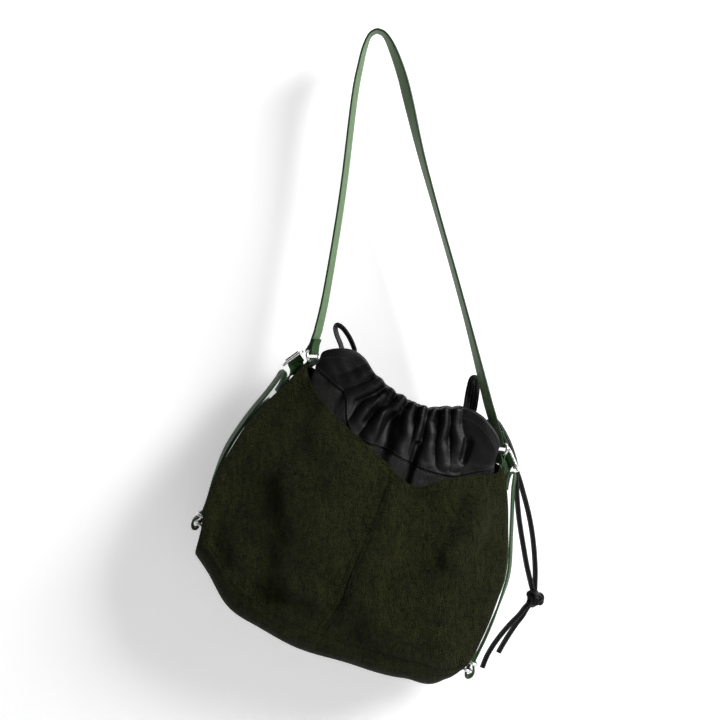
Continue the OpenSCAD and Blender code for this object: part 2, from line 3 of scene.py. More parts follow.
import bmesh
import bpy
import numpy as np
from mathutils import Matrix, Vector


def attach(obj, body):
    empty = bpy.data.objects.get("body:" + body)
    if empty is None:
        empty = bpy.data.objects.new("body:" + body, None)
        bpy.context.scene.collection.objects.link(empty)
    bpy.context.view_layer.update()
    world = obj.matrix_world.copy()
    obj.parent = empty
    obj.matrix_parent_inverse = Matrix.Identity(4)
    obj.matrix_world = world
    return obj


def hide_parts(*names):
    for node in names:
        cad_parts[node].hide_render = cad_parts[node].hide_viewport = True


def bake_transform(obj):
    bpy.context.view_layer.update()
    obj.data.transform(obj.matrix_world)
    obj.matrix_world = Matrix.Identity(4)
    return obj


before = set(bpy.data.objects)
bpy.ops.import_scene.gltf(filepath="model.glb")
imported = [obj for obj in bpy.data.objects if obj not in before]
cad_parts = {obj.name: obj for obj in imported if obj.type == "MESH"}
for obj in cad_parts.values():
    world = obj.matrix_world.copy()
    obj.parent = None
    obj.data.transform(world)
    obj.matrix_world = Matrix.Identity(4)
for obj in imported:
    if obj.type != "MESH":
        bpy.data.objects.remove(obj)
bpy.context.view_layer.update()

# Every length below is in millimetres until a mesh is made.
MM = 0.001

# ---- Row frame and bag frame ----

TILT = math.radians(26.4)
BAG_ORIGIN = np.array([39.65, 0.0, -482.0])


def turn_to_row(v):
    """Directions in the bag frame, turned into the row frame."""
    v = np.asarray(v, float)
    c, s = math.cos(TILT), math.sin(TILT)
    return np.stack([v[..., 0] * c + v[..., 2] * s, v[..., 1], v[..., 2] * c - v[..., 0] * s], -1)


def to_row(p):
    """Points in the bag frame, moved into the row frame."""
    return turn_to_row(p) + BAG_ORIGIN


def unit(v):
    v = np.asarray(v, float)
    return v / np.maximum(np.linalg.norm(v, axis=-1, keepdims=True), 1e-9)


def square_to(v, t):
    """The part of v that is square to t, as a unit vector."""
    return unit(v - (v * t).sum(-1, keepdims=True) * t)


def mix(a, b, t):
    return a + (b - a) * t


def step(a, b, x):
    """Smooth rise from 0 at a to 1 at b."""
    t = np.clip((np.asarray(x, float) - a) / (b - a), 0, 1)
    return t * t * (3 - 2 * t)


def curve(table):
    """Smooth function through a table of (place, value) rows."""
    keys, values = np.array(table, float).T
    slopes = np.gradient(values, keys)

    def at(q):
        q = np.clip(np.asarray(q, float), keys[0], keys[-1])
        i = np.clip(np.searchsorted(keys, q, side="right") - 1, 0, len(keys) - 2)
        h = keys[i + 1] - keys[i]
        t = (q - keys[i]) / h
        rise = values[i + 1] - values[i]
        bend = (slopes[i] * h - rise) * (1 - t) - (slopes[i + 1] * h - rise) * t
        return values[i] + rise * t + bend * t * (1 - t)

    return at


def spline(points, steps):
    """Points along a smooth curve through the given points."""
    p = np.array(points, float)
    out = []
    for i in range(len(p) - 1):
        a, b, c, d = p[max(i - 1, 0)], p[i], p[i + 1], p[min(i + 2, len(p) - 1)]
        for t in np.arange(steps) / steps:
            out.append(0.5 * (2 * b + (c - a) * t + (2 * a - 5 * b + 4 * c - d) * t * t
                              + (3 * b - a - 3 * c + d) * t ** 3))
    return np.array(out + [p[-1]])


def tangents(p):
    """Unit direction of travel at each point of a path."""
    ahead = np.vstack([p[1:], p[-1:]])
    behind = np.vstack([p[:1], p[:-1]])
    return unit(ahead - behind)


# ---- Mesh builders ----

def in_scene(name, data):
    """Object with the given data, linked into the scene."""
    item = bpy.data.objects.new(name, data)
    bpy.context.scene.collection.objects.link(item)
    return item


def settle(parts, body):
    """Parts that ride on one body."""
    for part in parts:
        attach(part, body)


def make(name, verts, faces, materials, slots=None, sharp_faces=()):
    """Mesh object from points in mm; sharp_faces are flat ends whose rims stay crisp."""
    mesh = bpy.data.meshes.new(name)
    mesh.from_pydata((np.asarray(verts) * MM).tolist(), [], faces)
    for material in materials:
        mesh.materials.append(material)
    mesh.polygons.foreach_set("use_smooth", [True] * len(faces))
    if slots is not None:
        mesh.polygons.foreach_set("material_index", slots)
    work = bmesh.new()
    work.from_mesh(mesh)
    work.faces.ensure_lookup_table()
    for index in sharp_faces:
        for edge in work.faces[index].edges:
            edge.smooth = False
    bmesh.ops.recalc_face_normals(work, faces=work.faces)
    work.to_mesh(mesh)
    work.free()
    return in_scene(name, mesh)


def quads(index):
    """Faces between neighbouring rows and columns of a grid of point numbers."""
    a, b = index[:-1, :-1], index[:-1, 1:]
    c, d = index[1:, 1:], index[1:, :-1]
    return np.stack([a, b, c, d], -1).reshape(-1, 4).tolist()


def slab(outer, inner, material, slot_name, *nodes):
    """Closed sheet on the bag between two grids of points, with a rounded edge all round; it is
    shown in place of the given CAD nodes."""
    rows, cols = outer.shape[:2]
    border = [(0, j) for j in range(cols)] + [(i, cols - 1) for i in range(1, rows)]
    border += [(rows - 1, j) for j in range(cols - 2, -1, -1)]
    border += [(i, 0) for i in range(rows - 2, 0, -1)]
    bi, bj = np.array(border).T
    ni, nj = np.clip(bi, 1, rows - 2), np.clip(bj, 1, cols - 2)
    thick = np.linalg.norm(outer[bi, bj] - inner[bi, bj], axis=1, keepdims=True)
    away = unit(outer[bi, bj] - outer[ni, nj])
    rim = (outer[bi, bj] + inner[bi, bj]) / 2 + away * thick * 0.45
    count = rows * cols
    face_in = np.arange(count).reshape(rows, cols)
    face_out = face_in + count
    loops = np.array([face_in[bi, bj], 2 * count + np.arange(len(border)), face_out[bi, bj]])
    loops = np.hstack([loops, loops[:, :1]])
    faces = quads(face_in) + quads(face_out[:, ::-1]) + quads(loops)
    verts = np.vstack([outer.reshape(-1, 3), inner.reshape(-1, 3), rim])
    piece = make(nodes[0] + "_leather", verts, faces, [material])
    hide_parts(*nodes)
    settle([piece], "bag")


def band_section(w, t, round_r):
    """Outline of a flat strap (across, through) with rounded edges, and each side's slot:
    0 for the face on the plus side, 1 for the other face, 2 for the edges."""
    half_w, half_t = w / 2 - round_r, t / 2
    corner = [math.radians(a) for a in (0, 30, 60, 90)]
    right = [(half_w + round_r * math.cos(a), half_t - round_r + round_r * math.sin(a)) for a in corner]
    left = [(-x, y) for x, y in reversed(right)]
    across = [(x, half_t) for x in (half_w * 0.5, 0, -half_w * 0.5)]
    upper = right + across + left
    lower = [(-x, -y) for x, y in upper]
    points = np.array(upper + lower)
    middle_y = (points[:, 1] + np.roll(points[:, 1], -1)) / 2
    slots = [0 if y > half_t * 0.97 else 1 if y < -half_t * 0.97 else 2 for y in middle_y]
    return points, slots


def lace_section(w, t):
    """Outline of a flat lace with soft edges."""
    turns = np.radians(np.arange(15, 375, 30))
    x = w / 2 * np.sign(np.cos(turns)) * np.abs(np.cos(turns)) ** 0.4
    y = t / 2 * np.sign(np.sin(turns)) * np.abs(np.sin(turns)) ** 0.8
    return np.stack([x, y], -1)


def sweep(name, path, widths, section, materials, slots=None, closed=False):
    """Section (across, through) carried along a path, its across side held along widths."""
    t = tangents(path) if not closed else unit(np.roll(path, -1, 0) - np.roll(path, 1, 0))
    a = square_to(np.broadcast_to(widths, path.shape), t)
    b = np.cross(t, a)
    rings = path[:, None] + section[None, :, :1] * a[:, None] + section[None, :, 1:] * b[:, None]
    rows, sides = rings.shape[:2]
    index = np.arange(rows * sides).reshape(rows, sides)
    index = np.hstack([index, index[:, :1]])
    if closed:
        index = np.vstack([index, index[:1]])
    faces = quads(index)
    face_slots = (list(slots) if slots else [0] * sides) * (len(index) - 1)
    ends = []
    if not closed:
        ends = [len(faces), len(faces) + 1]
        faces += [list(range(sides)), list(range((rows - 1) * sides, rows * sides))]
        face_slots += [min(2, len(materials) - 1)] * 2
    return make(name, rings.reshape(-1, 3), faces, materials, face_slots, ends)


STITCH_RINGS = [(-0.5, 0.35, -0.6), (-0.36, 0.9, 0.1), (0, 1, 0.35), (0.36, 0.9, 0.1), (0.5, 0.35, -0.6)]
STITCH_SIDES = 6


def along_path(points, normals, pitch, margin):
    """Places, directions and normals at even steps along a path."""
    lengths = np.concatenate([[0], np.cumsum(np.linalg.norm(np.diff(points, axis=0), axis=1))])
    count = max(int((lengths[-1] - 2 * margin) / pitch), 1)
    at = margin + (np.arange(count) + 0.5) * (lengths[-1] - 2 * margin) / count
    pick = lambda values: np.stack([np.interp(at, lengths, values[:, k]) for k in range(3)], -1)
    return pick(points), unit(pick(tangents(points))), unit(pick(normals))


def stitch_rows(name, rows, material, pitch=3.8, length=2.7, width=0.75, margin=4.0):
    """Raised thread stitches along rows of (points, normals)."""
    verts, faces = [], []
    turns = np.radians(np.arange(STITCH_SIDES) * 360 / STITCH_SIDES)
    for points, normals in rows:
        for c, t, n in zip(*along_path(np.asarray(points), np.asarray(normals), pitch, margin)):
            side = np.cross(t, n)
            first = len(verts)
            for along, size, rise in STITCH_RINGS:
                middle = c + t * along * length + n * rise * width * 0.5
                for turn in turns:
                    spoke = side * math.cos(turn) + 0.7 * n * math.sin(turn)
                    verts.append(middle + size * width / 2 * spoke)
            ring = np.arange(len(STITCH_RINGS) * STITCH_SIDES).reshape(-1, STITCH_SIDES) + first
            faces += quads(np.hstack([ring, ring[:, :1]]))
            faces += [ring[0].tolist(), ring[-1].tolist()]
    return make(name, np.array(verts), faces, [material])


def face_rows(path, widths, w, t, share=0.36):
    """Stitch rows near both edges of a band, on both faces."""
    tangent = tangents(path)
    a = square_to(np.broadcast_to(widths, path.shape), tangent)
    b = np.cross(tangent, a)
    return [(path + a * side * w * share + b * face * t / 2, b * face)
            for side in (-1, 1) for face in (-1, 1)]


def surface_row(surface, u, v, outward):
    """Points and normals of a surface along lists of u and v; normals lean to outward."""
    du, dv = 0.002, 0.004
    p = surface(u, v)
    n = unit(np.cross(surface(u + du, v) - surface(u - du, v), surface(u, v + dv) - surface(u, v - dv)))
    n *= np.sign((n * outward).sum(-1, keepdims=True))
    return p, n


# ---- Materials ----

def new_material(name):
    """Material with its node tree and its shader."""
    material = bpy.data.materials.new(name)
    material.use_nodes = True
    return material, material.node_tree, material.node_tree.nodes["Principled BSDF"]


def feed(node, **values):
    """Links or sets a node's inputs; an underscore in a key stands for a space."""
    for key, value in values.items():
        socket = node.inputs[key.replace("_", " ")]
        if isinstance(value, bpy.types.NodeSocket):
            node.id_data.links.new(value, socket)
        else:
            socket.default_value = value
    return node


def add(tree, kind, **values):
    return feed(tree.nodes.new("ShaderNode" + kind), **values)


def mixed(tree, factor, low, high):
    """Colour between two."""
    node = tree.nodes.new("ShaderNodeMix")
    node.data_type = "RGBA"
    return feed(node, Factor=factor, A=(*low, 1), B=(*high, 1)).outputs["Result"]


def ranged(tree, value, **limits):
    return add(tree, "MapRange", Value=value, **limits).outputs["Result"]


def weighted(tree, *terms):
    """Sum of outputs times their weights."""
    total = 0.0
    for output, weight in terms:
        node = tree.nodes.new("ShaderNodeMath")
        node.operation = "MULTIPLY_ADD"
        tree.links.new(output, node.inputs[0])
        node.inputs[1].default_value = weight
        if isinstance(total, float):
            node.inputs[2].default_value = total
        else:
            tree.links.new(total, node.inputs[2])
        total = node.outputs[0]
    return total


# Size of the broad mottling in mm, and where the edge of a grain ends, as a share of its size
MOTTLE, GRAIN_EDGE = 42, 0.22


def leather(name, low, high, pebble, relief, rough, streak=1.0, spread=0.5, coat=0.0, sheen=0.0,
            specular=0.5, wrinkle=0.35):
    """Dyed leather: two tones over soft and fine mottling, pebbled grain and fine creases; the grain also
    paints shade into the hollows between grains and a highlight onto their tops.
    pebble is the size of a grain, relief the height of the bump, both in mm."""
    material, tree, shader = new_material(name)
    place = add(tree, "TexCoord").outputs["Object"]
    along = add(tree, "Mapping", Vector=place, Rotation=(0.3, 0.5, 0.7), Scale=(1.0, 1.0, 0.28))

    def noise(size, where=place, **values):
        return add(tree, "TexNoise", Vector=where, Scale=1 / MM / size, **values).outputs["Fac"]

    cells = add(tree, "TexVoronoi", Vector=place, Scale=1 / MM / pebble, Randomness=1.0)
    cells.feature = "DISTANCE_TO_EDGE"
    hollow = ranged(tree, cells.outputs["Distance"], From_Max=GRAIN_EDGE)
    fine = noise(pebble * 2.2, Detail=6.0, Roughness=0.65, Distortion=0.6)
    broad = noise(MOTTLE, Detail=3.0, Roughness=0.5)
    creases = noise(pebble * 3.2, along.outputs["Vector"], Detail=4.0, Distortion=1.4)
    # The grain term in the colour is painted shade in the hollows between grains and a painted highlight on
    # their tops; in the height it is real relief.
    tone = weighted(tree, (fine, 0.5), (hollow, 0.2), (broad, 0.2 * streak), (creases, wrinkle))
    middle, reach = 0.40 + 0.1 * streak + 0.5 * wrinkle, 0.3 * spread
    dye_and_grain_shade = ranged(tree, tone, From_Min=middle - reach, From_Max=middle + reach)
    height = weighted(tree, (hollow, 0.5), (fine, 0.9), (creases, 2.0 * wrinkle))
    bump = add(tree, "Bump", Height=height, Strength=1.0, Distance=relief * MM)
    feed(shader, Base_Color=mixed(tree, dye_and_grain_shade, low, high), Normal=bump.outputs["Normal"],
         Roughness=ranged(tree, fine, To_Min=rough - 0.1, To_Max=rough + 0.12),
         Specular_IOR_Level=specular, Coat_Weight=coat, Coat_Roughness=0.35, Sheen_Weight=sheen,
         Sheen_Roughness=0.45)
    return material


def polished_metal(name):
    """Bright plated wire with faint handling marks."""
    material, tree, shader = new_material(name)
    place = add(tree, "TexCoord").outputs["Object"]
    marks = add(tree, "TexNoise", Vector=place, Scale=260, Detail=5).outputs["Fac"]
    bump = add(tree, "Bump", Height=marks, Distance=0.03 * MM)
    feed(shader, Base_Color=mixed(tree, marks, (0.80, 0.80, 0.79), (0.95, 0.95, 0.95)),
         Roughness=ranged(tree, marks, To_Min=0.16, To_Max=0.36), Normal=bump.outputs["Normal"],
         Metallic=0.9)
    return material


OLIVE = leather("olive_pebbled", (0.0030, 0.0034, 0.0006), (0.037, 0.042, 0.0108), 2.5, 3.2, 0.58,
                spread=0.75, specular=0.09, wrinkle=0.42)
# Dark green gusset leather, darkened to near black: painted shade for the gap between the front panel and
# the side straps; the ring tabs' second face uses it too.
GUSSET_PAINTED_SHADE = leather("gusset_green_painted_shade", (0.0012, 0.003, 0.001), (0.004, 0.010, 0.003), 1.8, 0.3, 0.6,
                 specular=0.15)
# The strap's inner face is its green lightened to a pale grey-green: painted sheen.
STRAP_INNER_PAINTED_SHEEN = leather("strap_inner_face_painted_sheen", (0.046, 0.098, 0.034), (0.125, 0.215, 0.096), 1.4, 0.16, 0.5,
                      spread=1.0, sheen=0.1, specular=0.3)
# A darker copy of the strap's outer face (strap_outer_leg below): painted shade, worn by the side straps
# and the tabs.
STRAP_OUTER_PAINTED_SHADE = leather("strap_outer_face_painted_shade", (0.004, 0.022, 0.003), (0.020, 0.062, 0.013), 1.5, 0.2, 0.5,
                      spread=1.0, specular=0.25)
LEG_OUTER = leather("strap_outer_leg", (0.010, 0.036, 0.007), (0.036, 0.092, 0.025), 1.5, 0.2, 0.5,
                    spread=1.0, specular=0.2)
STRAP_EDGE = leather("strap_painted_edge", (0.004, 0.020, 0.003), (0.010, 0.036, 0.007), 2.0, 0.06, 0.4,
                     spread=1.2, coat=0.1, specular=0.3)
# A lighter copy of the strap's painted edge: painted highlight along the edges of the side straps and tabs.
SIDE_EDGE_PAINTED_HIGHLIGHT = leather("side_strap_edge_painted_highlight", (0.020, 0.055, 0.016), (0.050, 0.115, 0.040), 2.0, 0.06, 0.4,
                    spread=1.2, coat=0.1, specular=0.3)
LINER = leather("grained_black", (0.0010, 0.0009, 0.0008), (0.013, 0.0115, 0.0105), 1.9, 1.0, 0.5,
                spread=0.5, specular=0.28)
NAPPA = leather("black_nappa", (0.0008, 0.0008, 0.0008), (0.0026, 0.0026, 0.0026), 1.2, 0.16, 0.42,
                spread=1.0, wrinkle=0.4, specular=0.26)
LACE = leather("lace_black", (0.0010, 0.0010, 0.0010), (0.004, 0.004, 0.004), 0.9, 0.08, 0.45, spread=1.0,
               specular=0.16)
THREAD_OLIVE = leather("thread_olive", (0.0012, 0.0015, 0.0005), (0.004, 0.0045, 0.002), 0.4, 0.05, 0.7,
                       specular=0.1)
THREAD_GREEN = leather("thread_green", (0.09, 0.15, 0.075), (0.17, 0.25, 0.14), 0.4, 0.05, 0.6)
THREAD_BLACK = leather("thread_black", (0.006, 0.006, 0.006), (0.022, 0.022, 0.022), 0.4, 0.05, 0.45)
THREAD_GREY = leather("thread_grey", (0.10, 0.10, 0.10), (0.24, 0.24, 0.24), 0.4, 0.05, 0.6)
METAL = polished_metal("plated_wire")

# ---- Camera ----

camera_data = bpy.data.cameras.new("camera")
camera_data.lens = 57.8
camera_data.sensor_width = 36
camera = in_scene("camera", camera_data)
camera.location = (-0.022, -1.5, -0.426)
camera.rotation_euler = (math.radians(90), 0, 0)
bpy.context.scene.camera = camera

# ---- Loose lace: leads, strands, knot and tails ----

LACE_W, LACE_T = 7.0, 2.4
LACE_FACE = np.array([1, 0.12, 0.25])

LEAD_FRONT = [
    [143.5, 10.8, -508], [149.5, 11.8, -505.5], [156, 13.5, -507], [162, 14, -516],
    [167, 14, -525], [171.5, 14, -534], [175, 14, -543], [178, 14, -552],
    [180.5, 14, -561], [182, 14, -568]]
LEAD_BACK = [
    [144, 16, -510], [150, 16.5, -505], [157, 17, -507], [163, 17.2, -515],
    [168, 17.2, -524], [172.5, 17.2, -533], [176, 17.2, -542], [179, 17.2, -551],
    [181.5, 17.2, -560], [183, 17.2, -568]]
STRAND_LEFT = [
    [182.5, 14, -573], [183, 14, -590], [184, 14, -610], [186, 14, -631],
    [189, 14, -652], [192.5, 14, -673], [196, 14, -693], [200, 14, -711],
    [203.5, 14, -725], [206, 15, -733]]
STRAND_RIGHT = [
    [184, 17.2, -573], [188, 17.2, -585], [193, 17.2, -603], [198, 17.2, -622],
    [202, 17.2, -641], [205, 17.2, -661], [207, 17.2, -682], [208, 17.2, -705],
    [207.5, 17.2, -725], [207, 16.5, -733]]
TAIL_LONG = [
    [202, 14.5, -742], [194, 14, -750], [187, 14, -759], [178, 14, -768], [169, 14, -778],
    [160, 14, -789], [151.5, 14, -801], [144, 14, -814], [138, 14, -829]]
TAIL_SHORT = [
    [203, 16.5, -744], [197, 17.2, -752], [191, 17.2, -762], [184, 17.2, -771], [177, 17.2, -781],
    [170.5, 17.2, -791], [164.5, 17.2, -801], [159.5, 17.2, -810]]
KNOT_CENTRE, KNOT_SIZE = np.array([207, 15.6, -738.5]), 3.3


def lace_thread(node, path, widths, body):
    """Fine saddle stitching along both edges of a flat lace, on both faces."""
    rows = face_rows(path, widths, LACE_W, LACE_T * 0.92, 0.33)
    thread = stitch_rows(node + "_thread", rows, THREAD_GREY, pitch=3.0, length=1.5, width=0.55, margin=1.5)
    settle([thread], body)
    return thread


def flat_lace(node, ending, path, widths, body, w=LACE_W):
    """Flat lace along a path, shown in place of its CAD node."""
    piece = sweep(node + ending, path, widths, lace_section(w, LACE_T), [LACE])
    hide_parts(node)
    settle([piece], body)
    return piece


def cad_shape(node, material):
    """A CAD solid that keeps its shape, in a new material and smoothly shaded."""
    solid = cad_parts[node]
    solid.data.materials.clear()
    solid.data.materials.append(material)
    solid.data.polygons.foreach_set("use_smooth", [True] * len(solid.data.polygons))
    return solid


def trefoil_knot():
    """Tight knot: one turn of lace woven over and under itself."""
    turn = np.radians(np.arange(0, 360, 3))
    lean = math.radians(35)
    x = KNOT_SIZE * (np.sin(turn) + 2 * np.sin(2 * turn))
    z = KNOT_SIZE * (np.cos(turn) - 2 * np.cos(2 * turn))
    y = -3.8 * np.sin(3 * turn)
    path = np.stack([x * math.cos(lean) + z * math.sin(lean), y,
                     z * math.cos(lean) - x * math.sin(lean)], -1)
    out = unit(path * [1, 0.35, 1] + [0, 1e-3, 0])
    t = unit(np.roll(path, -1, 0) - np.roll(path, 1, 0))
    widths = np.cross(out, t) * 0.75 + np.array([0, 1, 0]) * 0.5
    ball = path + KNOT_CENTRE
    piece = sweep("lace_knot_turns", ball, widths, lace_section(8.4, 5.2), [LACE], closed=True)
    a = square_to(widths, t)
    b = np.cross(t, a)
    rows = [(ball + a * side * 2.7 + b * face * 2.4, b * face) for side in (-1, 1) for face in (-1, 1)]
    thread = stitch_rows("lace_knot_thread", rows, THREAD_GREY, pitch=2.8, length=1.4, width=0.5, margin=0)
    settle((piece, thread), "lace_tail")
    return [piece, thread, cad_shape("lace_knot", LACE)]


def loose_lace(node, route, body):
    """Smooth flat lace along a route in the row frame."""
    path = spline(route, 4)
    piece = flat_lace(node, "_leather", path, LACE_FACE, body)
    thread = lace_thread(node, path, LACE_FACE, body)


KNOT_PIECES = trefoil_knot()
loose_lace("lace_lead_front", LEAD_FRONT, "bag")
loose_lace("lace_lead_back", LEAD_BACK, "bag")
loose_lace("lace_strand_left", STRAND_LEFT, "lace_tail")
loose_lace("lace_strand_right", STRAND_RIGHT, "lace_tail")
loose_lace("lace_tail_long", TAIL_LONG, "lace_tail")
loose_lace("lace_tail_short", TAIL_SHORT, "lace_tail")

# ---- Oval rings: the CAD solids keep their shape ----

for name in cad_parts:
    if "ring" in name and "tab" not in name:
        cad_shape(name, METAL)

WIRE_D, BAR_SPAN = 4.0, 13.0
LAYER_GAP = 0.4
STRAP_W, STRAP_T, TAB_T = 20.0, 2.6, 1.8

STRAP_RING_L, STRAP_RING_R = np.array([-137.3, 0, 0.2]), np.array([134.2, 0, 0.7])
LONG_AXIS_L, LONG_AXIS_R = unit([0.403, 0.89, 0.2]), unit([-0.403, 0.89, -0.2])
SHORT_AXIS_L = square_to(np.array([0.588, 0, -0.802]), LONG_AXIS_L)
SHORT_AXIS_R = square_to(np.array([0.266, 0, -0.962]), LONG_AXIS_R)

# ---- Folded leather round a bar ----


def fold_path(t, tail, run):
    """Flat path down one side of a bar at the origin, round under it and up again."""
    r, h = WIRE_D / 2 + LAYER_GAP + t / 2, (t + LAYER_GAP) / 2
    turns = np.radians(np.arange(180, 361, 15))
    round_bar = [[r * math.cos(a), r * math.sin(a)] for a in turns]
    return spline([[-h, tail], [-h, mix(tail, r + 5, 0.5)], [-h, r + 5]] + round_bar
                  + [[h, r + 5], [h, mix(run, r + 5, 0.5)], [h, run]], 2)


def on_bar(flat, c, l, d):
    """Flat path placed on a bar at c along l, its second axis along d, in the bag frame."""
    z = unit(l)
    y = square_to(np.asarray(d, float), z)
    x = np.cross(y, z)
    return c + flat[:, :1] * x + flat[:, 1:] * y


SHORT_STITCHES = dict(pitch=3.4, length=2.1, width=0.5, margin=3)
LONG_STITCHES = dict(pitch=4.0, length=2.4, width=0.5)


def band(node, path, width, w, t, faces, stitches):
    """Flat leather band on the bag with stitched edges, shown in place of its CAD node."""
    section, slots = band_section(w, t, t * 0.3)
    piece = sweep(node + "_leather", path, width, section, faces, slots)
    thread = stitch_rows(node + "_thread", face_rows(path, width, w, t), THREAD_GREEN, **stitches)
    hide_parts(node)
    settle((piece, thread), "bag")


STRAP_FACES = [STRAP_INNER_PAINTED_SHEEN, LEG_OUTER, STRAP_EDGE]
# The ring tabs, corner tabs and side straps take the darker copy of the strap face as painted shade and the
# lighter edges as painted highlight; the ring tabs' second face is the near-black gusset leather, also
# painted shade.
SHADED_TAB_FACES = [STRAP_OUTER_PAINTED_SHADE, GUSSET_PAINTED_SHADE, SIDE_EDGE_PAINTED_HIGHLIGHT]
SIDE_FACES = [STRAP_OUTER_PAINTED_SHADE, STRAP_OUTER_PAINTED_SHADE, SIDE_EDGE_PAINTED_HIGHLIGHT]
LOW_BAR_L = STRAP_RING_L + SHORT_AXIS_L * BAR_SPAN / 2
LOW_BAR_R = STRAP_RING_R + SHORT_AXIS_R * BAR_SPAN / 2
# Lengths of the two layers of a ring tab and of a corner tab's fold
RING_TAB_LAYERS, CORNER_TAB_LAYERS = (13, 11), (11, 8)
for name, bar, axis, down in (("ring_tab_left", LOW_BAR_L, LONG_AXIS_L, [-7, 0, -15]),
                              ("ring_tab_right", LOW_BAR_R, LONG_AXIS_R, [7, 0, -15])):
    band(name, to_row(on_bar(fold_path(TAB_T, *RING_TAB_LAYERS), bar, axis, down)), turn_to_row(unit(axis)),
         STRAP_W - 2, TAB_T, SHADED_TAB_FACES, SHORT_STITCHES)

CORNER_RING_L, CORNER_RING_R = np.array([-159.2, 0, -13.6]), np.array([154.4, 0, -3.9])
CORNER_AXIS_L, CORNER_AXIS_R = unit([0.467, 0, 0.884]), unit([0.763, 0, -0.646])
# Where each corner tab runs on down beside the gusset, turning on edge as it goes; the side
# straps and the tabs lean by the same angle, front edge in
LEAN = math.radians(17)
WRAP_L = [[-151.5, 5, -25], [-152.8, 3.5, -34], [-154, 2, -44], [-154.6, 1, -54]]
WRAP_R = [[151.5, 5, -17], [155.4, 4, -25], [158.6, 2.5, -33], [161.6, 1.5, -42]]


def corner_wrap(node, c, l, route):
    """Leather folded round a corner ring's back bar; its front layer runs on down the side."""
    inwards = np.array([l[2], 0, -l[0]])
    fold = on_bar(fold_path(TAB_T, *CORNER_TAB_LAYERS), c + [0, BAR_SPAN / 2, 0], l, inwards)
    run = spline([fold[-1]] + route, 5)[1:]
    path = to_row(np.vstack([fold, run]))
    turn = np.concatenate([np.zeros(len(fold)), step(0, len(run), np.arange(1, len(run) + 1))])[:, None]
    upright = np.array([math.copysign(math.sin(LEAN), c[0]), math.cos(LEAN), 0])
    width = turn_to_row(unit(mix(np.broadcast_to(l, path.shape), upright, turn)))
    band(node, path, width, STRAP_W, TAB_T, SIDE_FACES, SHORT_STITCHES)


corner_wrap("corner_tab_left", CORNER_RING_L, CORNER_AXIS_L, WRAP_L)
corner_wrap("corner_tab_right", CORNER_RING_R, CORNER_AXIS_R, WRAP_R)

# ---- Shoulder strap ----

STRAP_MIDDLE = [
    [-65, -2, -336], [-45, 0, -213], [-29.5, 0, -88], [-21, 0, -42], [-15.6, 0, -20],
    [-9, 0, -4.5], [0, 0, 1.3], [10, 0, -4], [20.5, 0, -23], [32, 0, -55], [41, 0, -90],
    [58, 0, -162], [79, 0, -238], [100, 0, -312], [120, -3, -387]]
STRAP_TURN = [-26.7, -22, -19, -19, -16, -12, -4, 0, 8, 22, 30, 32, 18, 11, 11, 14, 26.7]
APEX = 7
TOP_BAR_L = STRAP_RING_L - SHORT_AXIS_L * BAR_SPAN / 2
TOP_BAR_R = STRAP_RING_R - SHORT_AXIS_R * BAR_SPAN / 2
LEG_DIR_L = square_to(np.array([-142, 0, 28]) - TOP_BAR_L, LONG_AXIS_L)
LEG_DIR_R = square_to(np.array([95, 0, 41]) - TOP_BAR_R, LONG_AXIS_R)
HALF_FOLD = (STRAP_T + LAYER_GAP) / 2
END_RUN_L, END_RUN_R, FLEX_GAP, STITCHED_TAIL = 22.0, 49.0, 5.0, 17.0


def foot(bar, l, d, run):
    """Point of the strap's centre line a given run above a strap ring's top bar."""
    return to_row(bar + np.cross(d, l) * HALF_FOLD + d * run)


def strap_leg(side, bar, l, d, run, route, turns):
    """Half of the shoulder strap, from its stitched tail round the ring up to the apex."""
    steps = 8
    upper = spline(route, steps)
    angle = np.radians(spline([[a] for a in turns], steps)[:, 0])
    flip = 1 if side == "left" else -1
    upper_width = flip * np.stack([np.sin(angle), -np.cos(angle), 0 * angle], -1)
    lower = to_row(on_bar(fold_path(STRAP_T, STITCHED_TAIL, run), bar, l, d))
    lower_width = np.broadcast_to(-flip * turn_to_row(l), lower.shape)
    path = np.vstack([lower[:-1], upper])
    widths = np.vstack([lower_width[:-1], upper_width])
    section, slots = band_section(STRAP_W, STRAP_T, 0.8)
    piece = sweep("strap_leg_" + side, path, widths, section, STRAP_FACES, slots)
    rows = face_rows(path, widths, STRAP_W, STRAP_T, share=0.40)
    thread = stitch_rows("strap_thread_" + side, rows, THREAD_GREEN, **LONG_STITCHES)
    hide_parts("shoulder_strap", "strap_end_" + side)
    for part in (piece, thread):
        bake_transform(part)


FOOT_L = foot(TOP_BAR_L, LONG_AXIS_L, LEG_DIR_L, END_RUN_L + FLEX_GAP)
FOOT_R = foot(TOP_BAR_R, LONG_AXIS_R, LEG_DIR_R, END_RUN_R + FLEX_GAP)
STRAP_ROUTE = [FOOT_L] + STRAP_MIDDLE + [FOOT_R]
strap_leg("left", TOP_BAR_L, LONG_AXIS_L, LEG_DIR_L, END_RUN_L, STRAP_ROUTE[:APEX + 1],
          STRAP_TURN[:APEX + 1])
strap_leg("right", TOP_BAR_R, LONG_AXIS_R, LEG_DIR_R, END_RUN_R, STRAP_ROUTE[:APEX - 1:-1],
          STRAP_TURN[:APEX - 1:-1])

# ---- Side straps and gusset strips ----

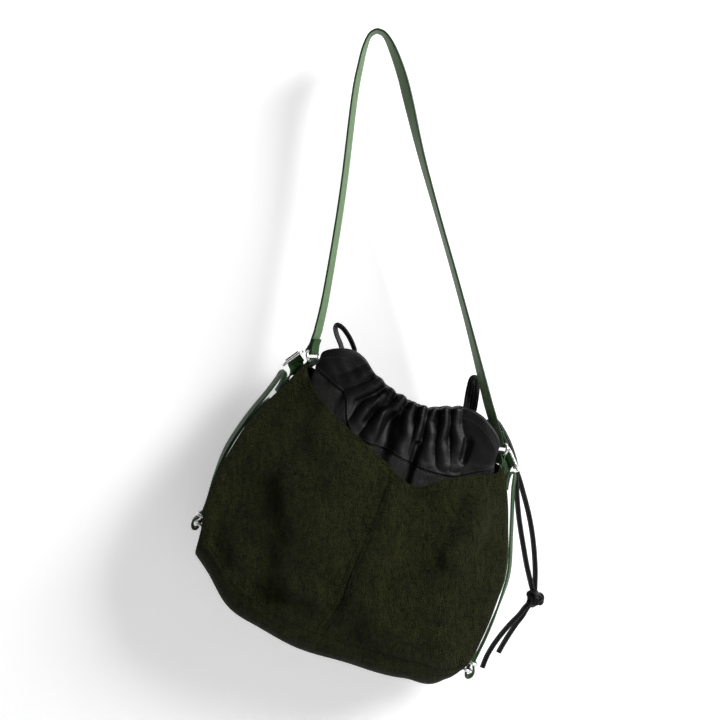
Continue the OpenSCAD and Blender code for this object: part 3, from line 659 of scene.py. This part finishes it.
CINCH_L, CINCH_R = np.array([-173, -247.5]), np.array([223.5, -262.5])
CINCH_HOOK = [
    [2.4, 0.5], [4.6, -5], [6.9, -8.5], [8.2, -12.5], [7.4, -17], [4.3, -20.3],
    [0.9, -19.6], [-0.7, -16], [-0.8, -11], [-0.8, -3], [-0.8, 13]]
STRIP_HOOK = [
    [-7.2, 10], [-9.4, 4], [-10.1, 0], [-12.6, -6], [-13.5, -10], [-13.2, -12.5], [-11.8, -14.1],
    [-10.1, -14.5], [-8.3, -13.9], [-7.1, -12.2], [-6.6, -9.5], [-4.4, -4.2], [-3.3, -0.5],
    [-3.3, 7]]
RUN_L = [
    [-164.8, -38], [-165.4, -46], [-169.5, -68], [-179, -110], [-184.5, -155],
    [-182.5, -195], [-177.5, -225], [-175.9, -238]]
RUN_R = [
    [166.6, -23], [169.8, -32], [174, -43], [195, -90], [215, -137], [222, -178],
    [225.3, -222], [225.7, -240], [225.8, -252]]
TAIL_L = [[-159, -62], [-158, -52], [-158.4, -42], [-159.2, -36.8], [-162, -34.6]]
TAIL_R = [[165, -44], [161.6, -34], [160, -24.5], [163, -20.2]]


def placed_hook(hook, centre, side):
    return [[centre[0] + side * out, centre[1] + up] for out, up in hook]


def side_band(node, flat, steps, t, side, lean):
    """Band on edge along a flat path (x, z) in the bag frame; lean tips its front edge in, and
    it stands nearly upright by the time it reaches the cinch rings."""
    p = spline(flat, steps)
    path = to_row(np.stack([p[:, 0], 0 * p[:, 0], p[:, 1]], -1))
    tip = lean * mix(0.35, 1, step(-215, -150, p[:, 1]))
    width = turn_to_row(np.stack([side * np.sin(tip), np.cos(tip), 0 * tip], -1))
    band(node, path, width, STRAP_W, t, SIDE_FACES, LONG_STITCHES)


side_band("side_strap_left", TAIL_L + RUN_L + placed_hook(CINCH_HOOK, CINCH_L, -1), 6, STRAP_T, -1,
          LEAN)
side_band("side_strap_right", TAIL_R + RUN_R + placed_hook(CINCH_HOOK, CINCH_R, 1), 6, STRAP_T, 1,
          LEAN)
# ---- Outer shell ----

SHELL_T, BASE_WRAP = 2.0, 26.0
HEM_T, HEM_H = 1.2, 24.0
left_edge = curve([
    [-294, -158], [-265, -163], [-223, -175], [-170, -177.5], [-123, -173],
    [-81, -163.5], [-48, -152], [-12, -141]])
right_edge = curve([
    [-294, 199], [-283, 204], [-264, 212], [-221, 215], [-184, 213], [-146, 208],
    [-94, 188.5], [-53, 168.5], [-18, 146]])
front_top = curve([
    [0, -12], [0.09, -35], [0.19, -49], [0.36, -66], [0.47, -76], [0.52, -83],
    [0.56, -88], [0.62, -90], [0.73, -64], [0.86, -44], [0.965, -28], [1, -18]])
back_top = curve([[0, -14], [0.5, -22], [1, -20]])
bottom_edge = curve([
    [0, -294], [0.07, -307], [0.18, -331], [0.32, -339], [0.44, -340],
    [0.64, -330], [0.86, -315], [0.98, -302], [1, -294]])
mid_depth = curve([
    [-340, 50], [-300, 56], [-250, 60], [-200, 60], [-150, 55], [-100, 46],
    [-60, 37], [-20, 28], [0, 25], [30, 22]])
side_depth = curve([
    [-340, 40], [-300, 40], [-250, 38], [-200, 34], [-150, 29], [-100, 24],
    [-50, 18], [-12, 15]])
left_recess = curve([
    [-300, 9], [-245, 8], [-218, 2], [-185, -1], [-150, -2.5], [-110, -2.5],
    [-85, -1.5], [-62, 2], [-24, 4]])
right_recess = curve([
    [-300, 5], [-262, 3], [-222, 0], [-178, -2], [-137, -3.5], [-94, -1],
    [-60, 2], [-24, 4]])
gusset_half = curve([
    [-289, 24], [-285, 28.5], [-278, 32], [-267, 34], [-262, 36], [-250, 35.6],
    [-200, 31.6], [-150, 26.6], [-100, 21.6], [-50, 15.6], [-24, 13.2]])
SEAM_SHARE = 0.52
# Stitch rows: drops below the top edge, and offsets to either side of the centre seam
HEM_ROWS, SEAM_ROWS = (3.0, 12.5), (-6.0, 6.0)


def share_x(s, z):
    return mix(left_edge(z), right_edge(z), s)


def depth(s, z):
    crown = (1 - np.abs(2 * np.clip(s, 0, 1) - 1) ** 2.4) ** 0.8
    return mix(side_depth(z), mid_depth(z), crown)


def ridge(x, z, points, half_widths, height, fade=0.0):
    """Rounded ridge along a line of (x, z) points; its half width runs between two values, and
    it loses the share fade of its height towards the line's last point."""
    p = np.array(points, float)
    lengths = np.linalg.norm(np.diff(p, axis=0), axis=1)
    start = np.concatenate([[0], np.cumsum(lengths)])
    best = np.full(np.shape(x), 9.0)
    along = np.zeros(np.shape(x))
    for k, (a, b) in enumerate(zip(p[:-1], p[1:])):
        t = np.clip(((x - a[0]) * (b - a)[0] + (z - a[1]) * (b - a)[1]) / lengths[k] ** 2, 0, 1)
        gap = np.hypot(x - a[0] - t * (b - a)[0], z - a[1] - t * (b - a)[1])
        share = (start[k] + t * lengths[k]) / start[-1]
        gap = gap / mix(half_widths[0], half_widths[1], share)
        along = np.where(gap < best, share, along)
        best = np.minimum(best, gap)
    return height * (1 - fade * along ** 2) * np.maximum(0, 1 - best ** 2) ** 0.9


def soft_ridge(x, z, points, half_width, height):
    """Broad swell along a line, with no crease at its foot."""
    return height * ridge(x, z, points, (half_width, half_width), 1.0) ** 2


# Soft folds of the front: the swell below the dip on the right, the slanted fold on the left,
# and the hollows beside them
FRONT_SWELLS = [
    ([(135, -74), (141, -110), (138, -146)], 26, 7.0),
    ([(-85, -150), (-52, -185), (-20, -213)], 38, 6.5),
    ([(-60, -70), (-30, -120), (-18, -175), (-30, -240)], 52, 7.5),
    ([(70, -120), (95, -160), (100, -230)], 40, -5),
    ([(-125, -190), (-90, -240), (-60, -285)], 38, -4.5),
    ([(-128, -60), (-112, -120), (-120, -180)], 34, -3.0),
    ([(30, -110), (42, -160), (38, -230)], 30, 4.0),
    ([(60, -250), (120, -272), (170, -262)], 36, 4.5),
    ([(-150, -50), (-163, -120), (-166, -190), (-148, -265)], 60, -6.5),
    ([(-130, -262), (-60, -272), (10, -262)], 24, 3.2)]
SWELL_GAIN, MOST_SWELL = 1.5, 10.0
# Width of the front that turns a share across into mm beside the centre seam
FRONT_W = 360


def front_relief(s, x, z):
    swell = sum(soft_ridge(x, z, line, w, h) for line, w, h in FRONT_SWELLS)
    waves = 1.3 * np.sin(x / 23 + z / 31 + 0.6) * np.sin(z / 19 - x / 47)
    waves += 0.5 * np.sin(x / 9.5 - z / 13) * np.sin(z / 11 + x / 21)
    waves += 0.22 * np.sin(x / 3.1 + 2.2 * np.sin(z / 17)) * np.sin(z / 4.3 + 1.7 * np.sin(x / 23))
    across = (s - SEAM_SHARE) * FRONT_W
    stitches = (np.abs(across) - SEAM_ROWS[1]) / 1.6
    seam_dip = -1.3 * np.exp(-(across / 4.5) ** 2) - 0.5 * np.exp(-stitches ** 2)
    calm = step(0, 0.07, s) * step(0, 0.07, 1 - s)
    lift = MOST_SWELL * np.tanh(SWELL_GAIN * swell / MOST_SWELL)
    return (lift + waves) * calm + seam_dip


def shell_point(s, v, face, top):
    """Point of the outer face; v runs from the base wrap (0) to the top edge (1)."""
    low = bottom_edge(s) + BASE_WRAP + LAYER_GAP
    z = mix(low, top(s), v)
    x = share_x(s, z)
    relief = front_relief(s, x, z) * step(-0.02, 0.06, v) if face < 0 else back_relief(s, x, z)
    drop = top(s) - z
    relief = relief - sum(1.1 * np.exp(-((drop - row) / 1.4) ** 2) for row in HEM_ROWS)
    return np.stack([x, face * (depth(s, z) + relief), z], -1)


def back_relief(s, x, z):
    waves = 0.8 * np.sin(x / 29 + 0.4) * np.sin(z / 26 + x / 61)
    return waves * step(0, 0.08, s) * step(0, 0.08, 1 - s) - 0.6


def front_surface(s, v):
    return to_row(shell_point(s, v, -1, front_top))


def back_surface(s, v):
    return to_row(shell_point(s, v, 1, back_top))


def grid(u0, u1, columns, rows):
    return np.meshgrid(np.linspace(u0, u1, columns), np.linspace(0, 1, rows))


def shell_panel(node, surface, s0, s1, columns, face):
    outer = surface(*grid(s0, s1, columns, 110))
    slab(outer, outer - np.array([0, face * SHELL_T, 0]), OLIVE, "olive_leather", node)


SEAM_GAP = 0.0012
shell_panel("front_panel_left", front_surface, 0, SEAM_SHARE - SEAM_GAP, 90, -1)
shell_panel("front_panel_right", front_surface, SEAM_SHARE + SEAM_GAP, 1, 84, -1)
shell_panel("back_panel", back_surface, 0, 1, 130, 1)


def shell_rows(surface, face):
    """Stitch rows of a panel: two along its top edge and one along its seam with the base."""
    top, outward = front_top if face < 0 else back_top, np.array([0, face, 0])
    shares = np.linspace(0.02, 0.98, 300)
    high = top(shares) - bottom_edge(shares) - BASE_WRAP - LAYER_GAP
    rows = [surface_row(surface, shares, 1 - drop / high, outward) for drop in HEM_ROWS]
    return rows + [surface_row(surface, np.linspace(0.02, 0.98, 260), np.full(260, 0.016), outward)]


def upright_row(share, offset, v0, v1):
    """Stitch row beside an upright seam, offset across by some millimetres."""
    v = np.linspace(v0, v1, 120)
    z = mix(bottom_edge(share) + BASE_WRAP, front_top(share), v)
    s = share + offset / (right_edge(z) - left_edge(z))
    return surface_row(front_surface, s, v, np.array([0, -1, 0]))


rows = shell_rows(front_surface, -1) + shell_rows(back_surface, 1)
rows += [upright_row(SEAM_SHARE, offset, 0.01, 0.985) for offset in SEAM_ROWS]
shell_thread = stitch_rows("shell_thread", rows, THREAD_OLIVE, pitch=3.9, length=2.7, width=1.1)
settle([shell_thread], "bag")


def hem_facing():
    """Turned-in strip behind the dipped front edge."""
    s, v = grid(0.03, 0.97, 130, 8)
    share = 1 - (1 + HEM_H * (1 - v)) / (front_top(s) - bottom_edge(s) - BASE_WRAP - LAYER_GAP)
    outer = front_surface(s, share) + np.array([0, SHELL_T + LAYER_GAP, 0])
    slab(outer, outer + np.array([0, HEM_T, 0]), OLIVE, "olive_leather", "hem_facing")


hem_facing()
# The base narrows towards the floor, with rounded corners and walls that bow in a little
BASE_DRAFT, BASE_CORNER_R, BASE_BOW = 2, 20, 0.7


def channel(s, inset, steps):
    """Section of the base at a share: front wall, rounded corners and floor, as (y, z)."""
    low, high = bottom_edge(s) + inset, bottom_edge(s) + BASE_WRAP
    d_top = depth(s, high) - inset
    d_low, r = d_top - BASE_DRAFT, BASE_CORNER_R - inset
    arc = np.radians(np.linspace(180, 270, steps))
    front = [[-d_low + r + r * math.cos(a), low + r + r * math.sin(a)] for a in arc]
    back = [[-y, z] for y, z in reversed(front)]
    floor = [[mix(front[-1][0], back[0][0], t), low] for t in (0.25, 0.5, 0.75)]
    wall = [[d_top - BASE_BOW, mix(high, low + r, 0.5)], [d_top, high]]
    return np.array([[-y, z] for y, z in reversed(wall)] + front + floor + back + wall)


def base_panel():
    """Base that wraps up the front and the back, a little slack between its corners."""
    def wall(inset):
        columns = []
        for s in np.linspace(0, 1, 120):
            q = channel(s, inset, 12)
            x = share_x(s, q[:, 1])
            sag = 0.7 * np.sin(q[:, 0] / 14 + x / 17) * step(0, 0.05, s) * step(0, 0.05, 1 - s)
            columns.append(np.stack([x, q[:, 0], q[:, 1] + np.clip(sag, -0.6, 0.9)], -1))
        return to_row(np.stack(columns, 1))

    slab(wall(0), wall(SHELL_T), OLIVE, "olive_leather", "base_panel")


base_panel()


GUSSET_TUCK = 1.5


def gusset_x(side, z):
    """Outside of a gusset at mid depth."""
    return left_edge(z) + left_recess(z) if side < 0 else right_edge(z) - right_recess(z)


def gusset(side, node):
    """Folded-in side of the bag between the front and back seams."""
    t, v = np.meshgrid(np.linspace(-1, 1, 40), np.linspace(-289, -24, 110))
    d = gusset_half(v)
    edge = (left_edge if side < 0 else right_edge)(v) - side * GUSSET_TUCK
    x = mix(gusset_x(side, v), edge, t * t) + 0.5 * np.sin(v / 13) * (1 - t * t)
    outer = np.stack([x, t * d, v], -1)
    inner = outer - np.array([side * SHELL_T, 0, 0])
    # The gusset's near-black leather is painted shade over its dark green.
    slab(to_row(outer), to_row(inner), GUSSET_PAINTED_SHADE, "gusset_leather", node)


gusset(-1, "gusset_left")
gusset(1, "gusset_right")

STRIP_HEIGHTS = (-74, -90, -120, -150, -180, -210, -228)
for side, node, centre in ((-1, "gusset_strip_left", CINCH_L), (1, "gusset_strip_right", CINCH_R)):
    run = [[float(gusset_x(side, z)) + side * (3 * LAYER_GAP + TAB_T / 2), z] for z in STRIP_HEIGHTS]
    side_band(node, run + placed_hook(STRIP_HOOK, centre, side), 4, TAB_T, side, LEAN / 2)

# ---- Inner bag: grained liner and gathered nappa collar ----

LINER_T, CASING_H, LINER_RISE = 1.2, 13.0, 26.0
liner_left = curve([
    [-300, -146], [-260, -149], [-220, -160], [-170, -163], [-120, -158],
    [-80, -147], [-50, -136], [-25, -126], [0, -124]])
liner_right = curve([
    [-300, 184], [-260, 194], [-220, 198], [-180, 197], [-140, 191], [-95, 172],
    [-60, 154], [-35, 136], [-15, 124], [0, 121]])
collar_seam = curve([
    [-126, -8], [-93, -19], [-72, -27], [-53, -56], [0, -64], [50, -64],
    [80, -55], [102, -40], [122, -22], [128, -12]])
mouth_edge = curve([
    [-126, 3], [-120, 12], [-108, 23], [-91, 30], [-78, 28], [-54, 15], [-30, 8],
    [0, 4], [30, 8], [46, 17], [67, 27], [92, 27], [104, 20], [114, 10], [122, -2]])

# Gathers of the front: ridges from the mouth downwards, with their half widths and height
FRONT_RIDGES = [
    ([(-104, 22), (-100, 0), (-92, -20)], (42, 34), 5),
    ([(-60, 20), (-72, 4), (-88, -16), (-92, -40)], (10, 18), 8),
    ([(-42, 14), (-55, -4), (-72, -22), (-70, -52)], (9, 12), 11),
    ([(-25, 8), (-33, -12), (-45, -26), (-52, -62)], (8, 11), 8.5),
    ([(-9, 6), (-14, -14), (-22, -26), (-28, -70)], (8.5, 12), 11),
    ([(6, 5), (7, -14), (16, -36), (18, -84)], (7, 15), 8.5),
    ([(19, 6), (24, -12), (27, -30), (36, -60)], (7, 8), 11),
    ([(33, 9), (34, -8), (42, -20), (52, -56)], (6.5, 11), 8),
    ([(46, 14), (54, -4), (58, -22), (74, -48)], (7.5, 10), 10.5),
    ([(60, 20), (66, 4), (79, -14), (88, -42)], (8, 11), 8),
    ([(88, 28), (104, -2), (114, -26)], (30, 27), 7)]
FRONT_HOLLOWS = [
    ([(-30, -4), (-38, -44)], 6, 4),
    ([(-12, -25), (-5, -56), (0, -90)], 13, 8),
    ([(33, -42), (38, -66), (42, -96)], 7, 9),
    ([(88, -8), (94, -34)], 6.5, 4)]
BACK_RIDGES = [([(x, 30), (x + 4 * math.sin(x), -12), (x + 6, -48 - 8 * math.cos(x))], (8.5, 10), 7)
               for x in range(-72, 92, 15)]
BACK_RIDGES += [([(-108, 20), (-100, -20)], (34, 30), 5), ([(104, 20), (110, -20)], (24, 26), 5)]
RIDGE_FADE = 0.72
# How far the gathered leather as a whole sinks in, how far the mouth follows its gathers, and
# the push at which the mouth stays level
SINK, MOUTH_SHARE, LEVEL_PUSH = 2.5, 0.42, 5.0


def inner_frame(a, z):
    """Outer face of the plain inner bag at turn a (180 left, 270 front, 360 right) and height
    z, and the outward direction there."""
    turn = np.radians(a)
    xl, xr = liner_left(z), liner_right(z)
    d = mid_depth(z) - SHELL_T - HEM_T - 3 * LAYER_GAP
    across = np.sign(np.cos(turn)) * np.abs(np.cos(turn)) ** 0.8
    through = np.sign(np.sin(turn)) * np.abs(np.sin(turn)) ** 0.8
    point = np.stack([(xl + xr) / 2 + (xr - xl) / 2 * across, d * through, z], -1)
    out = unit(np.stack([np.sign(across) * np.abs(across) ** 1.5 / ((xr - xl) / 2),
                         np.sign(through) * np.abs(through) ** 1.5 / d, 0 * z], -1))
    return point, out


def gathers(a, x, z):
    """How far the gathered leather stands out of the plain inner bag."""
    ridges = FRONT_RIDGES if a.mean() > 180 else BACK_RIDGES
    hollows = FRONT_HOLLOWS if a.mean() > 180 else []
    out = np.zeros(np.shape(x))
    for line, widths, height in ridges:
        out = out + ridge(x, z, line, widths, height, RIDGE_FADE) ** 4
    out = out ** 0.25 + 0.5 * np.sin(x / 5.3 + 1.8 * np.sin(z / 9)) * np.sin(z / 8.1 + x / 15)
    for line, half_width, height in hollows:
        out = out - soft_ridge(x, z, line, half_width, height)
    return out - SINK


def ear_bulge(a, z):
    """Push that rounds the ears of the collar out over the strap rings."""
    right = step(300, 343, a) * (1 - step(343, 359, a)) * step(-70, -22, z)
    left = (1 - step(197, 240, a)) * step(181, 197, a) * step(-60, -15, z)
    return right[..., None] * np.array([12.0, -10.0, 0]) + left[..., None] * np.array([-7.0, -6.0, 0])


# How far the hidden lower part of the inner bag hangs inside the plain inner bag
TUCK_IN = 13.0


def inner_surface(a, z, inset):
    """Point of the gathered inner bag, inset from its outer face."""
    base, out = inner_frame(a, z)
    start = 180 if a.mean() > 180 else 0
    calm = step(0, 8, a - start) * (1 - step(172, 180, a - start))
    tuck = TUCK_IN * step(0, 8, a % 180) * (1 - step(-165, -105, z))
    push = gathers(a, base[..., 0], z) * calm * step(-150, -95, z) - tuck
    return base + out * (push - inset)[..., None] + ear_bulge(a, z)


def mouth_height(a):
    """Height of the mouth edge: raised on each gather and lowered between them."""
    x = inner_frame(a, 0 * a)[0][..., 0]
    top = mouth_edge(x)
    lift = gathers(a, x, top - 3) + SINK - LEVEL_PUSH
    return top + MOUTH_SHARE * lift * step(-60, -38, x) * (1 - step(66, 84, x))


def seam_height(a):
    x = inner_frame(a, 0 * a - 30)[0][..., 0]
    return collar_seam(x * 0.95)


def wall_piece(a0, columns, low, high, rows, inset, material, slot_name, nodes, roll=None):
    """Wall of the inner bag between heights low and high; roll turns its top edge inwards."""
    a, v = np.meshgrid(np.linspace(a0, a0 + 180, columns), np.linspace(0, 1, rows))
    z = mix(low(a), high(a), v)
    outer, inner = inner_surface(a, z, inset), inner_surface(a, z, inset + LINER_T)
    if roll:
        outer, inner = rolled_top(a[:1], z[-1], outer, inner, inset, roll)
    slab(to_row(outer), to_row(inner), material, slot_name, *nodes)


def rolled_top(a, top, outer, inner, inset, casing):
    """Adds the mouth edge rolled over the lace and the casing down its inside."""
    big, small = (casing + LINER_T) / 2, (casing - LINER_T) / 2
    rows_out, rows_in = [outer], [inner]
    for turn in np.radians(np.arange(20, 181, 20)):
        go_in, rise = 1 - math.cos(turn), math.sin(turn)
        rows_out.append(inner_surface(a, (top + big * rise)[None], inset + big * go_in))
        rows_in.append(inner_surface(a, (top + small * rise)[None], inset + LINER_T + small * go_in))
    for drop in np.linspace(0.15, 1, 6) * CASING_H:
        rows_out.append(inner_surface(a, (top - drop)[None], inset + 2 * big))
        rows_in.append(inner_surface(a, (top - drop)[None], inset + 2 * big - LINER_T))
    return np.concatenate(rows_out), np.concatenate(rows_in)


def liner_floor(a):
    x = inner_frame(a, 0 * a)[0][..., 0] * 1.35
    return bottom_edge(np.clip((x + 160) / 360, 0, 1)) + LINER_RISE


ROLL = LINER_T + LACE_T + 2 * LAYER_GAP + LINER_T
# The liner reaches a little above the collar seam, inside the collar
LINER_OVERLAP, LINER_INSET = 2.5, 1.4
for side, a0 in (("front", 180), ("back", 0)):
    wall_piece(a0, 260, liner_floor, lambda a: seam_height(a) + LINER_OVERLAP, 90, LINER_INSET, LINER,
               "liner_leather", ["liner_" + side])
    wall_piece(a0, 420, seam_height, lambda a: mouth_height(a) - ROLL / 2, 70, 0, NAPPA,
               "collar_leather", ["collar_" + side, "casing_" + side], ROLL)


def inner_row(a, z):
    """Points and outward normals along the inner bag's outer face."""
    p = inner_surface(a, z, 0)
    n = unit(np.cross(inner_surface(a + 0.4, z, 0) - inner_surface(a - 0.4, z, 0),
                      inner_surface(a, z + 0.5, 0) - inner_surface(a, z - 0.5, 0)))
    out = inner_frame(a, z)[1]
    n *= np.sign((n * out).sum(-1, keepdims=True))
    return to_row(p), turn_to_row(n)


rows = []
for a0, a1 in ((186, 354), (6, 174)):
    a = np.linspace(a0, a1, 420)
    rows.append(inner_row(a, mouth_height(a) - CASING_H))
    rows.append(inner_row(a, seam_height(a) + 1.8))
    points, normals = inner_row(a, seam_height(a) - 4.0)
    rows.append((points - normals * LINER_INSET, normals))
collar_thread = stitch_rows("collar_thread", rows, THREAD_BLACK, pitch=4.2, length=2.8, width=0.8)
settle([collar_thread], "bag")


FLOOR_MARGIN = 24


def liner_base():
    """Floor of the inner bag."""
    s, v = grid(0.05, 0.96, 70, 16)
    low = bottom_edge(s)
    d = (depth(s, low) - FLOOR_MARGIN) * (1 - np.abs(2 * s - 1) ** 4) ** 0.5
    lift = SHELL_T + LAYER_GAP + 0.5
    outer = np.stack([share_x(s, low), (2 * v - 1) * d, low + lift + LINER_T], -1)
    inner = outer - np.array([0, 0, LINER_T])
    slab(to_row(outer), to_row(inner), LINER, "liner_leather", "liner_base")


liner_base()

# ---- Drawcord and pull loops ----


def drawcord():
    """Flat lace inside the casing, from the right end round the mouth and back to it."""
    inset = LINER_T + LAYER_GAP + LACE_T / 2
    path = np.vstack([inner_surface(a, mouth_height(a) - CASING_H / 2 - 1, inset)
                      for a in (np.linspace(10, 179, 200), np.linspace(181, 350, 200))])
    flat_lace("drawcord", "_lace", to_row(path), turn_to_row(np.array([0, 0, 1.0])), "bag")


drawcord()

LOOP_L = [
    [-90, -12], [-90, 10], [-91, 28], [-97, 36], [-108, 44.5], [-119, 50], [-126.5, 50.5],
    [-127, 45.5], [-121, 38], [-112, 30], [-105.5, 22], [-102.5, 10], [-102, -12]]
LOOP_R = [
    [81, -14], [81, 10], [80.6, 28], [77, 42], [72.5, 56], [68, 66], [64.5, 68.3],
    [62.8, 65], [64.2, 56], [67.5, 43], [71.5, 29], [72.5, 10], [72.5, -14]]


LOOP_PIVOT_Z = 12


def pull_loop(node, flat, y, lean, face_turn, face_w):
    """Bight of lace pulled up out of the casing, its face turned towards the front."""
    p = spline(flat, 5)
    tip = math.radians(lean)
    up = p[:, 1] - LOOP_PIVOT_Z
    path = to_row(np.stack([p[:, 0], y + up * math.sin(tip), LOOP_PIVOT_Z + up * math.cos(tip)], -1))
    upright = turn_to_row(np.array([0, math.cos(tip), -math.sin(tip)]))
    in_plane = np.cross(tangents(path), upright)
    turn = math.radians(face_turn)
    width = upright * math.cos(turn) + in_plane * math.sin(turn)
    flat_lace(node, "_lace", path, width, node, face_w)
    lace_thread(node, path, width, node)


pull_loop("pull_loop_left", LOOP_L, 1, 0, 62, LACE_W)
pull_loop("pull_loop_right", LOOP_R, 0.5, 9, 82, LACE_W + 3)

# ---- Wall, floor and light ----


def stage_plane(name, corners, grey, glow):
    """Pale plane that only shows from the side it faces; glow lifts its shadows."""
    material, tree, shader = new_material(name)
    feed(shader, Base_Color=(grey, grey, grey, 1), Roughness=0.9, Specular_IOR_Level=0.1,
         Emission_Color=(1, 1, 1, 1), Emission_Strength=glow)
    blend = add(tree, "MixShader", Fac=add(tree, "NewGeometry").outputs["Backfacing"])
    tree.links.new(shader.outputs["BSDF"], blend.inputs[1])
    tree.links.new(add(tree, "BsdfTransparent").outputs["BSDF"], blend.inputs[2])
    feed(tree.nodes["Material Output"], Surface=blend.outputs["Shader"])
    mesh = bpy.data.meshes.new(name)
    mesh.from_pydata(corners, [], [(0, 1, 2, 3)])
    mesh.materials.append(material)
    in_scene(name, mesh)


WALL_Y, FLOOR_Z, REACH = 0.066, -1.9, 4.0
stage_plane("wall", [(-REACH, WALL_Y, FLOOR_Z), (REACH, WALL_Y, FLOOR_Z), (REACH, WALL_Y, REACH),
                     (-REACH, WALL_Y, REACH)], 0.93, 0.40)
stage_plane("floor", [(-REACH, -REACH, FLOOR_Z), (REACH, -REACH, FLOOR_Z), (REACH, WALL_Y, FLOOR_Z),
                      (-REACH, WALL_Y, FLOOR_Z)], 0.70, 0.0)


def soft_light(name, place, target, size, power):
    data = bpy.data.lights.new(name, "AREA")
    data.size = size
    data.energy = power
    light = in_scene(name, data)
    light.location = place
    light.rotation_mode = "QUATERNION"
    light.rotation_quaternion = (Vector(target) - Vector(place)).to_track_quat("-Z", "Y")


MIDDLE = (0.05, 0, -0.5)
soft_light("key", (2.3, -1.35, 0.75), MIDDLE, 1.1, 118)
soft_light("front_fill", (0.3, -2.6, 0.1), MIDDLE, 2.0, 2)
soft_light("back_fill", (-1.5, 2.2, 0.8), MIDDLE, 1.6, 45)

world = bpy.data.worlds.new("pale_room")
world.use_nodes = True
feed(world.node_tree.nodes["Background"], Color=(1, 1, 1, 1), Strength=0.10)
bpy.context.scene.world = world
bpy.context.scene.view_settings.view_transform = "Standard"
